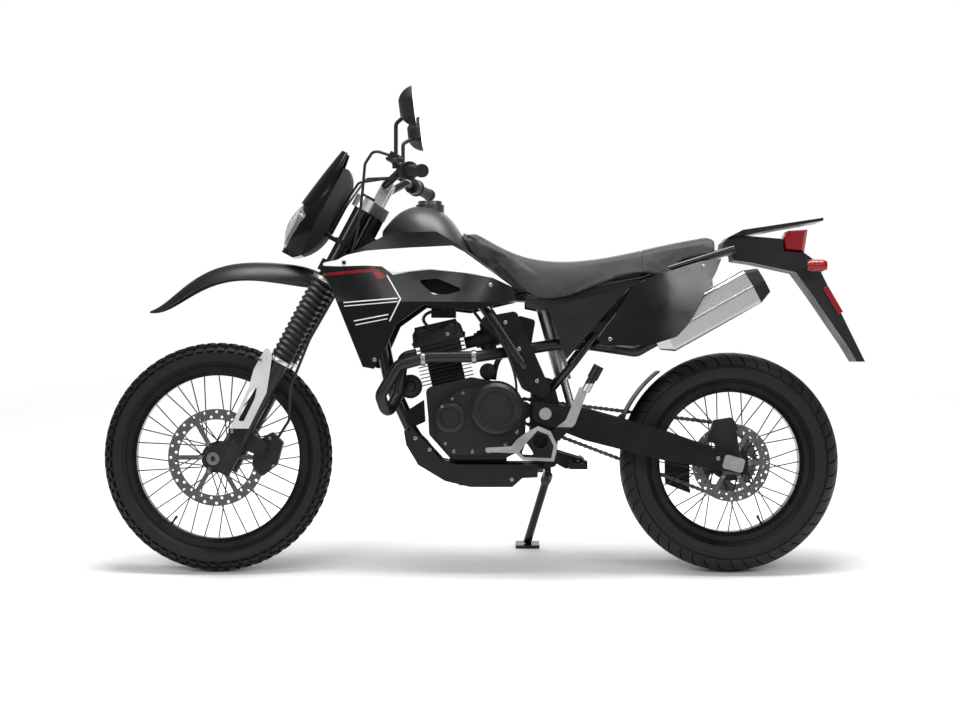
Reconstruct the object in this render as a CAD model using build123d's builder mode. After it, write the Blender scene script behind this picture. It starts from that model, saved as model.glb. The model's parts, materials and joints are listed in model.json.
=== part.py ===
"""A road-legal trail motorcycle, parked on its side stand.

The bike is drawn upright and then leaned over as one whole. X runs along the bike with the front
wheel at -X, Z is up from the floor, and the near side, with the silencer, faces -Y. Sizes are in
millimetres and degrees. A lateral place called "near" counts from the middle plane towards -Y.
"""

import os
from collections import namedtuple
from math import asin, atan2, cos, pi, radians, sin, sqrt, tan

from build123d import *

os.makedirs("parts", exist_ok=True)

# How the bike stands
lean_angle = 10
box_middle_y = 199

# Fits
running_gap = 0.05
seat_gap = 0.3
body_gap = 2.0

# Wheels, swingarm and steering geometry
front_axle_x = -752
front_tyre_radius = 324
rear_tyre_radius = 310
pivot_x = 173
pivot_z = 449
arm_length = 543
rake_angle = 28.2
axle_lead = 34
clamp_offset = 36
leg_spread = 190
spoke_radius = 1.7
spoke_cross_angle = 38
spoke_count = 36

rear_axle_x = pivot_x + sqrt(arm_length**2 - (pivot_z - rear_tyre_radius) ** 2)
Wheel = namedtuple(
    "Wheel",
    "axle_x tyre_radius tyre_width shoulder_drop flange_radius rim_width hub_radius hub_width axle_radius",
)
front = Wheel(front_axle_x, front_tyre_radius, 92, 22, 257, 60, 44, 66, 11)
rear = Wheel(rear_axle_x, rear_tyre_radius, 124, 25, 224, 84, 52, 92, 12)

# Heights along the steering axis, from the level of the front axle
leg_bottom = -26
leg_top = 322
gaiter_top = 590
lower_clamp_base = 604
clamp_depth = 34
clamp_gap = 170
tube_stand = 8
riser_height = 54
upper_clamp_base = lower_clamp_base + clamp_depth + clamp_gap
fork_top = upper_clamp_base + clamp_depth + tube_stand
bar_height = upper_clamp_base + clamp_depth + riser_height

# Fork sections
slider_radius = 26
gaiter_inner = 27
gaiter_outer = 33
gaiter_ribs = 16
tube_radius = 20.5
stem_radius = 14
head_tube_radius = 28

# Handlebar
bar_radius = 11
bar_half_width = 392
grip_radius = 16
grip_length = 118

# Engine and frame places
arm_near = 90
arm_thickness = 28
chain_near = -75
rear_sprocket_radius = 104
front_sprocket_radius = 33
front_sprocket_x = 116
front_sprocket_z = 454
cylinder_tilt = 13
cylinder_base = (-92, 512)
crankcase_half_width = 84
case_far = 60
spine_half_width = 22
rail_near = 92
exhaust_radius = 16
silencer_near = 122


def on_side(near):
    """The side view's plane at a lateral place: its axes are X and Z, and it faces the near side."""
    return Plane.XZ.offset(near)


def plate(outline, start, stop, corner=0, mode=Mode.ADD):
    """A flat piece with a side-view outline, between two lateral places."""
    with BuildSketch(on_side(start)) as face:
        with BuildLine():
            if corner:
                FilletPolyline(*outline, radius=corner, close=True)
            else:
                Polyline(*outline, close=True)
        make_face()
    extrude(face.sketch, amount=stop - start, mode=mode)


def tube(points, radius, bend=0, mode=Mode.ADD):
    """A round bar along straight runs, joined by tangent bends."""
    with BuildLine() as path:
        if bend:
            FilletPolyline(*points, radius=bend)
        else:
            Polyline(*points)
    with BuildSketch(Plane(path.line @ 0, z_dir=path.line % 0)) as section:
        Circle(radius)
    sweep(section.sketch, path=path.line, mode=mode)


def rod(start, stop, radius, mode=Mode.ADD):
    """A straight round bar between two points."""
    run = Vector(*stop) - Vector(*start)
    with Locations(Plane(Vector(*start), z_dir=run)):
        Cylinder(radius, run.length, align=(Align.CENTER, Align.CENTER, Align.MIN), mode=mode)


def boss(x, z, start, stop, radius, mode=Mode.ADD):
    """A round bar across the bike at a place in the side view, between two lateral places."""
    with BuildSketch(on_side(start)) as face:
        with Locations((x, z)):
            Circle(radius)
    extrude(face.sketch, amount=stop - start, mode=mode)


def turned(x, z, profile, mode=Mode.ADD):
    """A piece turned about a lateral axis. The profile's points are (lateral place, radius)."""
    with BuildSketch(Plane((x, 0, z), x_dir=(0, -1, 0), z_dir=(-1, 0, 0))) as section:
        with BuildLine():
            Polyline(*profile, close=True)
        make_face()
    revolve(section.sketch, axis=Axis((x, 0, z), (0, 1, 0)), mode=mode)


def curved_panel(outline, bands, thickness):
    """A bent sheet: a wall through plan-view arcs at several heights, trimmed to a side-view outline.

    Each band is (height, three plan points as (x, near)).
    """
    with BuildPart(mode=Mode.PRIVATE) as sheet:
        sections = []
        for height, arc in bands:
            (x0, n0), (x1, n1), (x2, n2) = arc
            with BuildSketch(Plane.XY.offset(height)) as band:
                with BuildLine():
                    outer = ThreePointArc((x0, -n0), (x1, -n1), (x2, -n2))
                    inner = ThreePointArc((x0, thickness - n0), (x1, thickness - n1), (x2, thickness - n2))
                    Line(outer @ 0, inner @ 0)
                    Line(outer @ 1, inner @ 1)
                make_face()
            sections.append(band.sketch)
        loft(sections, ruled=True)
        widest = max(near for _, arc in bands for _, near in arc)
        plate(outline, 0, widest + thickness, mode=Mode.INTERSECT)
    return sheet.part


def wheel_plane(wheel):
    """The plane through a wheel's axle: its axes are lateral (+Y) and radial (+Z)."""
    return Plane((wheel.axle_x, 0, wheel.tyre_radius), x_dir=(0, 1, 0), z_dir=(1, 0, 0))


def wheel_axis(wheel):
    return Axis((wheel.axle_x, 0, wheel.tyre_radius), (0, 1, 0))


# The steering frame: its Z runs up the steering axis, its X points back, level with the front axle
rake = radians(rake_angle)
steer_up = Vector(sin(rake), 0, cos(rake))
steer_back = Vector(cos(rake), 0, -sin(rake))
front_axle = Vector(front.axle_x, 0, front.tyre_radius)
rear_axle = Vector(rear.axle_x, 0, rear.tyre_radius)
steer = Plane(front_axle + steer_back * (axle_lead + clamp_offset), x_dir=steer_back, z_dir=steer_up)
leg_places = [(-clamp_offset, side * leg_spread / 2) for side in (-1, 1)]


def steered(back, side, height):
    """A point given in the steering frame: behind the axis, towards +Y, and up the axis."""
    return steer.from_local_coords(Vector(back, side, height))


def steer_side(near):
    """The steering frame's side view at a lateral place: its axes are back and up the axis."""
    return Plane(steered(0, -near, 0), x_dir=steer_back, z_dir=(0, -1, 0))


def steer_plate(outline, start, stop, corner=0, mode=Mode.ADD):
    """A flat piece drawn in the steering frame's side view, between two lateral places."""
    with BuildSketch(steer_side(start)) as face:
        with BuildLine():
            if corner:
                FilletPolyline(*outline, radius=corner, close=True)
            else:
                Polyline(*outline, close=True)
        make_face()
    extrude(face.sketch, amount=stop - start, mode=mode)


# The whole bike is leaned about the floor line under its tyres until the tyres' crowns rest on it
rear_half_tread = rear.tyre_width / 2 - 6
rear_crown = (rear.shoulder_drop**2 + rear_half_tread**2) / (2 * rear.shoulder_drop)
lean = radians(lean_angle)
floor_lift = rear_crown * (1 - cos(lean))
parked = Location((0, -box_middle_y, floor_lift), (-lean_angle, 0, 0))


def write(piece, label):
    """Leans a finished piece with the bike, names it and writes it."""
    piece.part.label = label
    leaned = piece.part.moved(parked)
    leaned.label = label
    export_step(leaned, f"parts/{label}.step")


# Tyres: bead, sidewall, shoulder and a round crown
rim_wall = 3
bead_depth = 11


def tyre(wheel):
    half = wheel.tyre_width / 2
    tread_half = half - 6
    seat_half = wheel.rim_width / 2 - rim_wall - seat_gap
    seat_radius = wheel.flange_radius - bead_depth + seat_gap
    bulge_radius = (wheel.flange_radius + wheel.tyre_radius) / 2
    shoulder_radius = wheel.tyre_radius - wheel.shoulder_drop
    with BuildSketch(wheel_plane(wheel)) as section:
        with BuildLine():
            wall = Polyline(
                (-tread_half, shoulder_radius),
                (-half, bulge_radius),
                (-seat_half - 4, wheel.flange_radius + seat_gap + 3),
                (-seat_half, wheel.flange_radius + 2 * seat_gap),
                (-seat_half, seat_radius),
                (seat_half, seat_radius),
                (seat_half, wheel.flange_radius + 2 * seat_gap),
                (seat_half + 4, wheel.flange_radius + seat_gap + 3),
                (half, bulge_radius),
                (tread_half, shoulder_radius),
            )
            ThreePointArc(wall @ 1, (0, wheel.tyre_radius), wall @ 0)
        make_face()
    revolve(section.sketch, axis=wheel_axis(wheel))


with BuildPart() as front_tyre:
    tyre(front)
write(front_tyre, "front_tyre")

with BuildPart() as rear_tyre:
    tyre(rear)
write(rear_tyre, "rear_tyre")

# Rims: two flanges on a drop-centre bed
bed_depth = 26
bed_wall = 8


def rim(wheel):
    half = wheel.rim_width / 2
    flange, seat = wheel.flange_radius, wheel.flange_radius - bead_depth
    bed = wheel.flange_radius - bed_depth
    side = [
        (half - rim_wall, flange),
        (half, flange),
        (half, seat - 4),
        (half * 0.55, bed),
    ]
    turned(
        wheel.axle_x,
        wheel.tyre_radius,
        [(-half + rim_wall, seat), *[(-y, r) for y, r in side], *reversed(side), (half - rim_wall, seat)],
    )


with BuildPart() as front_rim:
    rim(front)
write(front_rim, "front_rim")

with BuildPart() as rear_rim:
    rim(rear)
write(rear_rim, "rear_rim")

# Hubs with their laced spokes: each flange has spokes that lean forwards and spokes that lean back
flange_thickness = 8
spoke_stagger = 3.5
nipple_near = 5


def hub(wheel):
    half = wheel.hub_width / 2
    core = wheel.hub_radius * 0.55
    flange_in = half - flange_thickness
    bore = wheel.axle_radius + running_gap
    turned(
        wheel.axle_x,
        wheel.tyre_radius,
        [
            (-half, bore),
            (half, bore),
            (half, wheel.hub_radius),
            (flange_in, wheel.hub_radius),
            (flange_in - 6, core),
            (6 - flange_in, core),
            (-flange_in, wheel.hub_radius),
            (-half, wheel.hub_radius),
        ],
    )
    hub_reach = wheel.hub_radius - 4
    rim_reach = wheel.flange_radius - bed_depth - seat_gap
    places = []
    for number in range(spoke_count):
        side = 1 if number % 2 else -1
        turn = 1 if number // 2 % 2 else -1
        rim_angle = 2 * pi * number / spoke_count
        hub_angle = rim_angle + turn * radians(spoke_cross_angle)
        foot = Vector(hub_reach * cos(hub_angle), side * (half - 4) + turn * spoke_stagger, hub_reach * sin(hub_angle))
        tip = Vector(rim_reach * cos(rim_angle), side * nipple_near, rim_reach * sin(rim_angle))
        places.append((foot, tip))
    axle = Vector(wheel.axle_x, 0, wheel.tyre_radius)
    for side_turn in range(4):
        group = places[side_turn::4]
        length = (group[0][1] - group[0][0]).length - spoke_radius * 0.3
        with Locations(*[Location(Plane(axle + foot, z_dir=tip - foot)) for foot, tip in group]):
            Cylinder(spoke_radius, length, align=(Align.CENTER, Align.CENTER, Align.MIN))


with BuildPart() as front_hub:
    hub(front)
write(front_hub, "front_hub")

with BuildPart() as rear_hub:
    hub(rear)
write(rear_hub, "rear_hub")

# Brake discs: a drilled ring on a six-armed carrier
Disc = namedtuple("Disc", "wheel near radius ring_depth thickness arm_width")
front_disc_sizes = Disc(front, front.hub_width / 2 + 16, 137, 30, 4, 13)
rear_disc_sizes = Disc(rear, rear.hub_width / 2 + 14, 110, 28, 4, 13)
disc_hole_radius = 4
disc_holes = 24
disc_boss_radius = 34


def brake_disc(disc):
    wheel = disc.wheel
    face = on_side(disc.near - disc.thickness)
    inner = disc.radius - disc.ring_depth
    centre = (wheel.axle_x, wheel.tyre_radius)
    bore = wheel.axle_radius + running_gap
    with BuildSketch(face) as blank:
        with Locations(centre):
            Circle(disc.radius)
            Circle(inner, mode=Mode.SUBTRACT)
            Circle(disc_boss_radius)
            with PolarLocations((inner + disc_boss_radius) / 2, 6):
                Rectangle(inner - disc_boss_radius + 6, disc.arm_width)
            Circle(bore, mode=Mode.SUBTRACT)
            for row, reach in enumerate((disc.radius - 8, inner + 8)):
                with PolarLocations(reach, disc_holes, start_angle=row * 180 / disc_holes):
                    Circle(disc_hole_radius, mode=Mode.SUBTRACT)
    extrude(blank.sketch, amount=disc.thickness)
    boss(*centre, wheel.hub_width / 2, disc.near - disc.thickness, disc_boss_radius)
    boss(*centre, wheel.hub_width / 2, disc.near, bore, mode=Mode.SUBTRACT)


with BuildPart() as front_disc:
    brake_disc(front_disc_sizes)
write(front_disc, "front_disc")

with BuildPart() as rear_disc:
    brake_disc(rear_disc_sizes)
write(rear_disc, "rear_disc")

# Final drive: the rear sprocket on the wheel, and the chain as a fixed loop of links round both
chain_pitch = 15.875
chain_width = 14
link_height = 12
sprocket_thickness = 6
rear_teeth = 42
tooth_depth = 7
chain_run_gap = 1.0

sprocket_tip = rear_sprocket_radius - link_height / 2 - chain_run_gap
with BuildPart() as rear_sprocket:
    with BuildSketch(on_side(chain_near - sprocket_thickness / 2)):
        with Locations((rear.axle_x, rear.tyre_radius)):
            Circle(sprocket_tip - tooth_depth)
            with PolarLocations(sprocket_tip - tooth_depth / 2 - 1, rear_teeth):
                Trapezoid(9, tooth_depth + 2, 68, rotation=-90)
            with PolarLocations(sprocket_tip * 0.62, 6):
                Circle(17, mode=Mode.SUBTRACT)
            Circle(rear.axle_radius + running_gap, mode=Mode.SUBTRACT)
    extrude(amount=sprocket_thickness)
    boss(rear.axle_x, rear.tyre_radius, chain_near + sprocket_thickness / 2, -rear.hub_width / 2, 40)
    boss(
        rear.axle_x,
        rear.tyre_radius,
        chain_near - sprocket_thickness / 2,
        -rear.hub_width / 2,
        rear.axle_radius + running_gap,
        mode=Mode.SUBTRACT,
    )
write(rear_sprocket, "rear_sprocket")


def chain_loop(reach):
    """The chain's outline at a distance outside its pitch line: two arcs and two tangent runs."""
    run = Vector(rear.axle_x - front_sprocket_x, rear.tyre_radius - front_sprocket_z)
    tilt = atan2(run.Y, run.X)
    spread = asin((rear_sprocket_radius - front_sprocket_radius) / run.length)
    big, small = rear_sprocket_radius + reach, front_sprocket_radius + reach
    top, low = tilt + pi / 2 + spread, tilt - pi / 2 - spread

    def at(cx, cz, radius, angle):
        return (cx + radius * cos(angle), cz + radius * sin(angle))

    front_place, rear_place = (front_sprocket_x, front_sprocket_z), (rear.axle_x, rear.tyre_radius)
    upper_front, upper_rear = at(*front_place, small, top), at(*rear_place, big, top)
    lower_front, lower_rear = at(*front_place, small, low), at(*rear_place, big, low)
    Line(upper_front, upper_rear)
    ThreePointArc(upper_rear, at(*rear_place, big, tilt), lower_rear)
    Line(lower_rear, lower_front)
    ThreePointArc(lower_front, at(*front_place, small, tilt + pi), upper_front)


with BuildPart() as chain:
    with BuildSketch(on_side(chain_near - chain_width / 2)):
        with BuildLine():
            chain_loop(link_height / 2)
        make_face()
        with BuildLine():
            chain_loop(-link_height / 2)
        make_face(mode=Mode.SUBTRACT)
    extrude(amount=chain_width)
write(chain, "chain")

front_sprocket_tip = front_sprocket_radius - link_height / 2 - chain_run_gap
with BuildPart() as front_sprocket:
    boss(
        front_sprocket_x,
        front_sprocket_z,
        chain_near - sprocket_thickness / 2,
        chain_near + sprocket_thickness / 2,
        front_sprocket_tip,
    )
    boss(front_sprocket_x, front_sprocket_z, chain_near, -case_far, 13)
write(front_sprocket, "front_sprocket")

# Fork: upper tubes, ribbed gaiters, sliders with leading axle lugs, and slotted guards
with BuildPart() as fork_tubes:
    with BuildSketch(steer.offset(gaiter_top)):
        with Locations(*leg_places):
            Circle(tube_radius)
    extrude(amount=fork_top - gaiter_top)
write(fork_tubes, "fork_tubes")

with BuildPart() as fork_gaiters:
    rib = (gaiter_top - leg_top) / gaiter_ribs
    for back, side in leg_places:
        with BuildSketch(Plane(steered(back, side, 0), x_dir=steer_back, z_dir=(0, -1, 0))):
            with BuildLine():
                ribs = [
                    point
                    for number in range(gaiter_ribs)
                    for point in (
                        (gaiter_inner, leg_top + number * rib),
                        (gaiter_outer, leg_top + (number + 0.5) * rib),
                    )
                ]
                Polyline((0, leg_top), *ribs, (gaiter_inner, gaiter_top), (0, gaiter_top), close=True)
            make_face()
        revolve(axis=Axis(steered(back, side, 0), steer_up))
write(fork_gaiters, "fork_gaiters")

lug_radius = 26
lug_inner = 22
lug_outer = 24
lug_corner = 8
slider_near = leg_spread / 2
lug_front = -clamp_offset - axle_lead - lug_radius
lug_outline = [
    (lug_front, -lug_radius),
    (lug_front, lug_radius),
    (-clamp_offset - 4, 86),
    (-clamp_offset + 18, 86),
    (-clamp_offset + 18, -lug_radius),
]
caliper_lug_outline = [(-clamp_offset, 112), (44, 106), (44, 64), (-clamp_offset, 58)]
caliper_lug_wall = 14
with BuildPart() as fork_sliders:
    with BuildSketch(steer.offset(leg_bottom)):
        with Locations(leg_places[0]):
            Circle(slider_radius)
    extrude(amount=leg_top - leg_bottom)
    steer_plate(lug_outline, slider_near - lug_inner, slider_near + lug_outer, corner=lug_corner)
    lug_reach = slider_near + lug_outer
    boss(front.axle_x, front.tyre_radius, 0, lug_reach, front.axle_radius + running_gap, mode=Mode.SUBTRACT)
    mirror(about=Plane.XZ)
    lug_base = slider_near - lug_inner
    steer_plate(caliper_lug_outline, lug_base, lug_base + caliper_lug_wall)
write(fork_sliders, "fork_sliders")

guard_near = slider_near + slider_radius + seat_gap
guard_thickness = 4
guard_outline = [(-87, 353), (-88, 272), (-76, 221), (-68, 85), (-21, 67), (-26, 233), (-39, 272), (-60, 328)]
guard_corner = 8
guard_slot = [(-58, 125), (-68, 208), (-58, 240), (-47, 204), (-44, 133)]
guard_slot_corner = 4
with BuildPart() as fork_guards:
    guard_face = guard_near + guard_thickness
    steer_plate(guard_outline, guard_near, guard_face, corner=guard_corner)
    steer_plate(guard_slot, guard_near, guard_face, corner=guard_slot_corner, mode=Mode.SUBTRACT)
    mirror(about=Plane.XZ)
write(fork_guards, "fork_guards")

axle_half_length = slider_near + 32
axle_bore = 7
axle_head_radius = 18
with BuildPart() as front_axle_shaft:
    boss(front.axle_x, front.tyre_radius, -axle_half_length, axle_half_length, front.axle_radius)
    head_base = slider_near + lug_outer + seat_gap
    boss(front.axle_x, front.tyre_radius, head_base, axle_half_length, axle_head_radius)
    boss(front.axle_x, front.tyre_radius, -axle_half_length, axle_half_length, axle_bore, mode=Mode.SUBTRACT)
write(front_axle_shaft, "front_axle")

# Triple clamps: two plates that hold the fork tubes, with the stem between them
clamp_bore = tube_radius + running_gap
clamp_reach = tube_radius + 11
stem_boss_radius = 30


def triple_clamp(base, depth):
    with BuildSketch(steer.offset(base)) as outline:
        with Locations(*leg_places):
            Circle(clamp_reach)
        Circle(stem_boss_radius)
        make_hull()
        with Locations(*leg_places):
            Circle(clamp_bore, mode=Mode.SUBTRACT)
    extrude(outline.sketch, amount=depth)


with BuildPart() as lower_clamp:
    triple_clamp(lower_clamp_base, clamp_depth)
    with BuildSketch(steer.offset(lower_clamp_base)):
        Circle(stem_radius)
    extrude(amount=upper_clamp_base - lower_clamp_base)
write(lower_clamp, "lower_triple_clamp")

riser_back = -8
riser_half_gap = 48
riser_size = (30, 30)
riser_cap = 8
with BuildPart() as upper_clamp:
    triple_clamp(upper_clamp_base, clamp_depth)
    with BuildSketch(steer.offset(upper_clamp_base + clamp_depth)):
        with Locations((riser_back, -riser_half_gap), (riser_back, riser_half_gap)):
            Rectangle(*riser_size)
    extrude(amount=riser_height + bar_radius + riser_cap)
    with Locations(Plane(steered(riser_back, 0, bar_height), z_dir=(0, 1, 0))):
        Cylinder(bar_radius + running_gap, 2 * (riser_half_gap + riser_size[1]), mode=Mode.SUBTRACT)
write(upper_clamp, "upper_triple_clamp")

# Handlebar: one bent tube, with its places as (back, side, height) in the steering frame
bar_rise = 66
bar_sweep = 88
bar_places = [
    (riser_back, 0, bar_height),
    (riser_back, 112, bar_height),
    (riser_back + 26, 200, bar_height + bar_rise - 12),
    (riser_back + bar_sweep, bar_half_width, bar_height + bar_rise),
]
bar_bend = 45
with BuildPart() as handlebar:
    tube([steered(*place) for place in bar_places], bar_radius, bar_bend)
    mirror(about=Plane.XZ)
write(handlebar, "handlebar")

bar_shoulder = steered(*bar_places[2])
bar_end = steered(*bar_places[3])
bar_run = (bar_end - bar_shoulder).normalized()
grip_bore = bar_radius + running_gap
end_cap_length = 12
end_cap_rise = 2
flange_length = 7
flange_rise = 9
grip_start = bar_end - bar_run * grip_length
with BuildPart() as grips:
    rod(grip_start, bar_end + bar_run * end_cap_length, grip_radius)
    rod(grip_start, grip_start + bar_run * flange_length, grip_radius + flange_rise)
    rod(bar_end, bar_end + bar_run * end_cap_length, grip_radius + end_cap_rise)
    rod(grip_start, bar_end, grip_bore, mode=Mode.SUBTRACT)
    mirror(about=Plane.XZ)
write(grips, "grips")

# Controls: a switch block, a lever perch with its blade, and the brake's fluid reservoir
switch_length = 35
switch_gap = 1
switch_radius = bar_radius + 12
stalk_radius = 5.5
stalk_hole = 60
perch_inset = 12
perch_radius = 10
perch_drop = Vector(0, 0, -10)
perch_rise = Vector(0, 0, 14)
lever_reach = 34
lever_bow = 62
lever_radius = 6
lever_bend = 30
lever_ball = 8
knee_out = 40
knee_forward = 22
reservoir_size = (34, 44, 26)
reservoir_lip = (40, 50, 6)
reservoir_offset = (-14, 36, 2)
reservoir_neck = 8
switch_end = grip_start - bar_run * switch_gap
switch_start = switch_end - bar_run * switch_length
perch = switch_start + bar_run * perch_inset
lever_root = perch - steer_back * lever_reach
lever_knee = lever_root + bar_run * knee_out - steer_back * knee_forward
lever_tip = bar_end - bar_run * lever_radius - steer_back * lever_bow
stalk_foot = lever_root + perch_rise / 2
with BuildPart() as controls:
    rod(switch_start, switch_end, switch_radius)
    rod(perch - steer_back * bar_radius, lever_root, perch_radius)
    rod(lever_root + perch_drop, lever_root + perch_rise, perch_radius)
    tube([lever_root, lever_knee, lever_tip], lever_radius, lever_bend)
    with Locations(lever_tip):
        Sphere(lever_ball)
    rod(switch_start - bar_run * perch_inset, grip_start, grip_bore, mode=Mode.SUBTRACT)
    mirror(about=Plane.XZ)
    near_root = Vector(lever_root.X, -lever_root.Y, lever_root.Z)
    forward, inboard, lift = reservoir_offset
    reservoir_base = near_root + steer_back * forward + Vector(0, inboard, 0) + steer_up * lift
    with Locations(Plane(reservoir_base, x_dir=steer_back, z_dir=steer_up)):
        Box(*reservoir_size, align=(Align.CENTER, Align.CENTER, Align.MIN))
        Box(*reservoir_lip, align=(Align.CENTER, Align.CENTER, Align.MIN))
    rod(near_root, reservoir_base + steer_up * reservoir_lip[2], reservoir_neck)
    for side in (-1, 1):
        foot = Vector(stalk_foot.X, side * stalk_foot.Y, stalk_foot.Z)
        rod(foot, foot + Vector(0, 0, stalk_hole), stalk_radius + running_gap, mode=Mode.SUBTRACT)
write(controls, "controls")

# Mirrors: a stalk from each perch and a domed leaf-shaped shell with its glass
mirror_rise = Vector(0, 0, 104)
mirror_offset = Vector(52, 66, 38)
mirror_slant = 0.12
mirror_outline = [(-64, -26), (-56, 16), (-10, 50), (48, 52), (68, 20), (50, -34), (0, -54)]
mirror_corner = 12
mirror_domes = [(0, 1), (16, 0.9), (40, 0.4)]
stalk_end = Vector(-20, -30, -16)
stalk_bend = 14
glass_thickness = 2
glass_gap = 0.1
glass_recess = glass_thickness + 2 * glass_gap
recess_share = 0.9
glass_share = 0.89
stalk_top = stalk_foot + mirror_rise
glass_place = stalk_top + mirror_offset
glass_face = Plane(glass_place, x_dir=(0, 1, 0), z_dir=(1, 0, mirror_slant))


def mirror_leaf(plane, share):
    with BuildSketch(plane) as leaf:
        with BuildLine():
            outline = [(x * share, z * share) for x, z in mirror_outline]
            FilletPolyline(*outline, radius=mirror_corner * share, close=True)
        make_face()
    return leaf.sketch


with BuildPart() as mirrors:
    tube([stalk_foot, stalk_top, glass_place + stalk_end], stalk_radius, stalk_bend)
    loft([mirror_leaf(glass_face.offset(-depth), share) for depth, share in mirror_domes])
    extrude(mirror_leaf(glass_face.offset(-glass_recess), recess_share), amount=glass_recess, mode=Mode.SUBTRACT)
    mirror(about=Plane.XZ)
write(mirrors, "mirrors")

with BuildPart() as mirror_glass:
    extrude(mirror_leaf(glass_face.offset(-glass_thickness - glass_gap), glass_share), amount=glass_thickness)
    mirror(about=Plane.XZ)
write(mirror_glass, "mirror_glass")

# Lamp cowl: half-oval sections up the steering axis, with a screen ahead of its top and a lens in its face
Shield = namedtuple("Shield", "height front back half_width")
cowl_back = -95
cowl_shields = [
    Shield(598, -188, -150, 40),
    Shield(642, -201, -110, 78),
    Shield(700, -208, cowl_back, 106),
    Shield(760, -190, cowl_back, 110),
    Shield(834, -172, -97, 90),
    Shield(890, -158, -122, 58),
]
screen_shields = [Shield(746, -203, -136, 84), Shield(834, -190, -140, 74), Shield(932, -172, -150, 40)]
screen_wall = 4
lens_wall = 4
lamp_floor = -150
lens_reach = -240
lens_outline = [(-30, 612), (-68, 668), (-84, 720), (-36, 742), (36, 742), (84, 720), (68, 668), (30, 612)]
stay_height = 700
stay_depth = 14
stay_root = -104
stay_root_share = 0.8
cowl_stay_radius = 5
stay_ring_wall = 6
lens_corner = 8


def shield_section(shield, inset=0):
    """A half oval that faces forwards, closed by a straight back."""
    with BuildSketch(steer.offset(shield.height)) as section:
        with BuildLine():
            oval = EllipticalCenterArc(
                (shield.back, 0), shield.back - shield.front - inset, shield.half_width - inset, 90, arc_size=180
            )
            Line(oval @ 1, oval @ 0)
        make_face()
    return section.sketch


def lens_window(grow):
    with BuildSketch(Plane(steered(lens_reach, 0, 0), x_dir=(0, 1, 0), z_dir=steer_back)) as window:
        with BuildLine():
            FilletPolyline(*lens_outline, radius=lens_corner, close=True)
        make_face()
        if grow:
            offset(amount=grow)
    return window.sketch


with BuildPart() as lamp_cowl:
    loft([shield_section(shield) for shield in screen_shields])
    loft([shield_section(shield, screen_wall) for shield in screen_shields], mode=Mode.SUBTRACT)
    loft([shield_section(shield) for shield in cowl_shields])
    extrude(lens_window(seat_gap), amount=lamp_floor - lens_reach, mode=Mode.SUBTRACT)
    for back, side in leg_places:
        root = steered(stay_root, side * stay_root_share, stay_height)
        rod(root, steered(back - tube_radius, side, stay_height), cowl_stay_radius)
        with BuildSketch(steer.offset(stay_height - stay_depth / 2)):
            with Locations((back, side)):
                Circle(tube_radius + stay_ring_wall)
        extrude(amount=stay_depth)
    with BuildSketch(steer.offset(stay_height - stay_depth)):
        with Locations(*leg_places):
            Circle(tube_radius + running_gap)
    extrude(amount=2 * stay_depth, mode=Mode.SUBTRACT)
write(lamp_cowl, "lamp_cowl")

with BuildPart() as headlamp_lens:
    loft([shield_section(shield) for shield in cowl_shields])
    loft([shield_section(shield, lens_wall) for shield in cowl_shields], mode=Mode.SUBTRACT)
    extrude(lens_window(0), amount=lamp_floor - lens_reach, mode=Mode.INTERSECT)
write(headlamp_lens, "headlamp_lens")

# Front mudguard: arched sections along the bike, thin and ending in a beak
Arch = namedtuple("Arch", "x crown_z edge_z half_width")
mudguard_arches = [
    Arch(-946, 738, 732, 14),
    Arch(-850, 806, 772, 52),
    Arch(-735, 866, 822, 68),
    Arch(-610, 876, 822, 70),
    Arch(-500, 862, 806, 56),
    Arch(-438, 834, 800, 46),
]
mudguard_wall = 4


def arch_section(arch):
    with BuildSketch(Plane((arch.x, 0, 0), x_dir=(0, 1, 0), z_dir=(1, 0, 0))) as section:
        with BuildLine():
            half = arch.half_width
            outer = ThreePointArc((-half, arch.edge_z), (0, arch.crown_z), (half, arch.edge_z))
            inner = ThreePointArc(
                (mudguard_wall - half, arch.edge_z), (0, arch.crown_z - mudguard_wall), (half - mudguard_wall, arch.edge_z)
            )
            Line(outer @ 0, inner @ 0)
            Line(outer @ 1, inner @ 1)
        make_face()
    return section.sketch


with BuildPart() as front_mudguard:
    loft([arch_section(arch) for arch in mudguard_arches])
    for side in (-1, 1):
        rod(steered(-46, side * 24, lower_clamp_base - seat_gap), steered(-46, side * 24, lower_clamp_base - 22), 9)
write(front_mudguard, "front_mudguard")

# Front brake caliper, straddling the disc behind the near fork leg
caliper_near = front_disc_sizes.near - front_disc_sizes.thickness / 2
caliper_outline = [(8, 92), (36, 140), (78, 128), (92, 64), (70, 14), (30, 30)]
caliper_inner = 11
lug_near = slider_near - 22
disc_gap = 5
with BuildPart() as front_caliper:
    steer_plate(caliper_outline, caliper_near - caliper_inner, lug_near - seat_gap, corner=8)
    boss(
        front.axle_x,
        front.tyre_radius,
        caliper_near - front_disc_sizes.thickness / 2 - disc_gap,
        caliper_near + front_disc_sizes.thickness / 2 + disc_gap,
        front_disc_sizes.radius + disc_gap,
        mode=Mode.SUBTRACT,
    )
write(front_caliper, "front_caliper")

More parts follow.
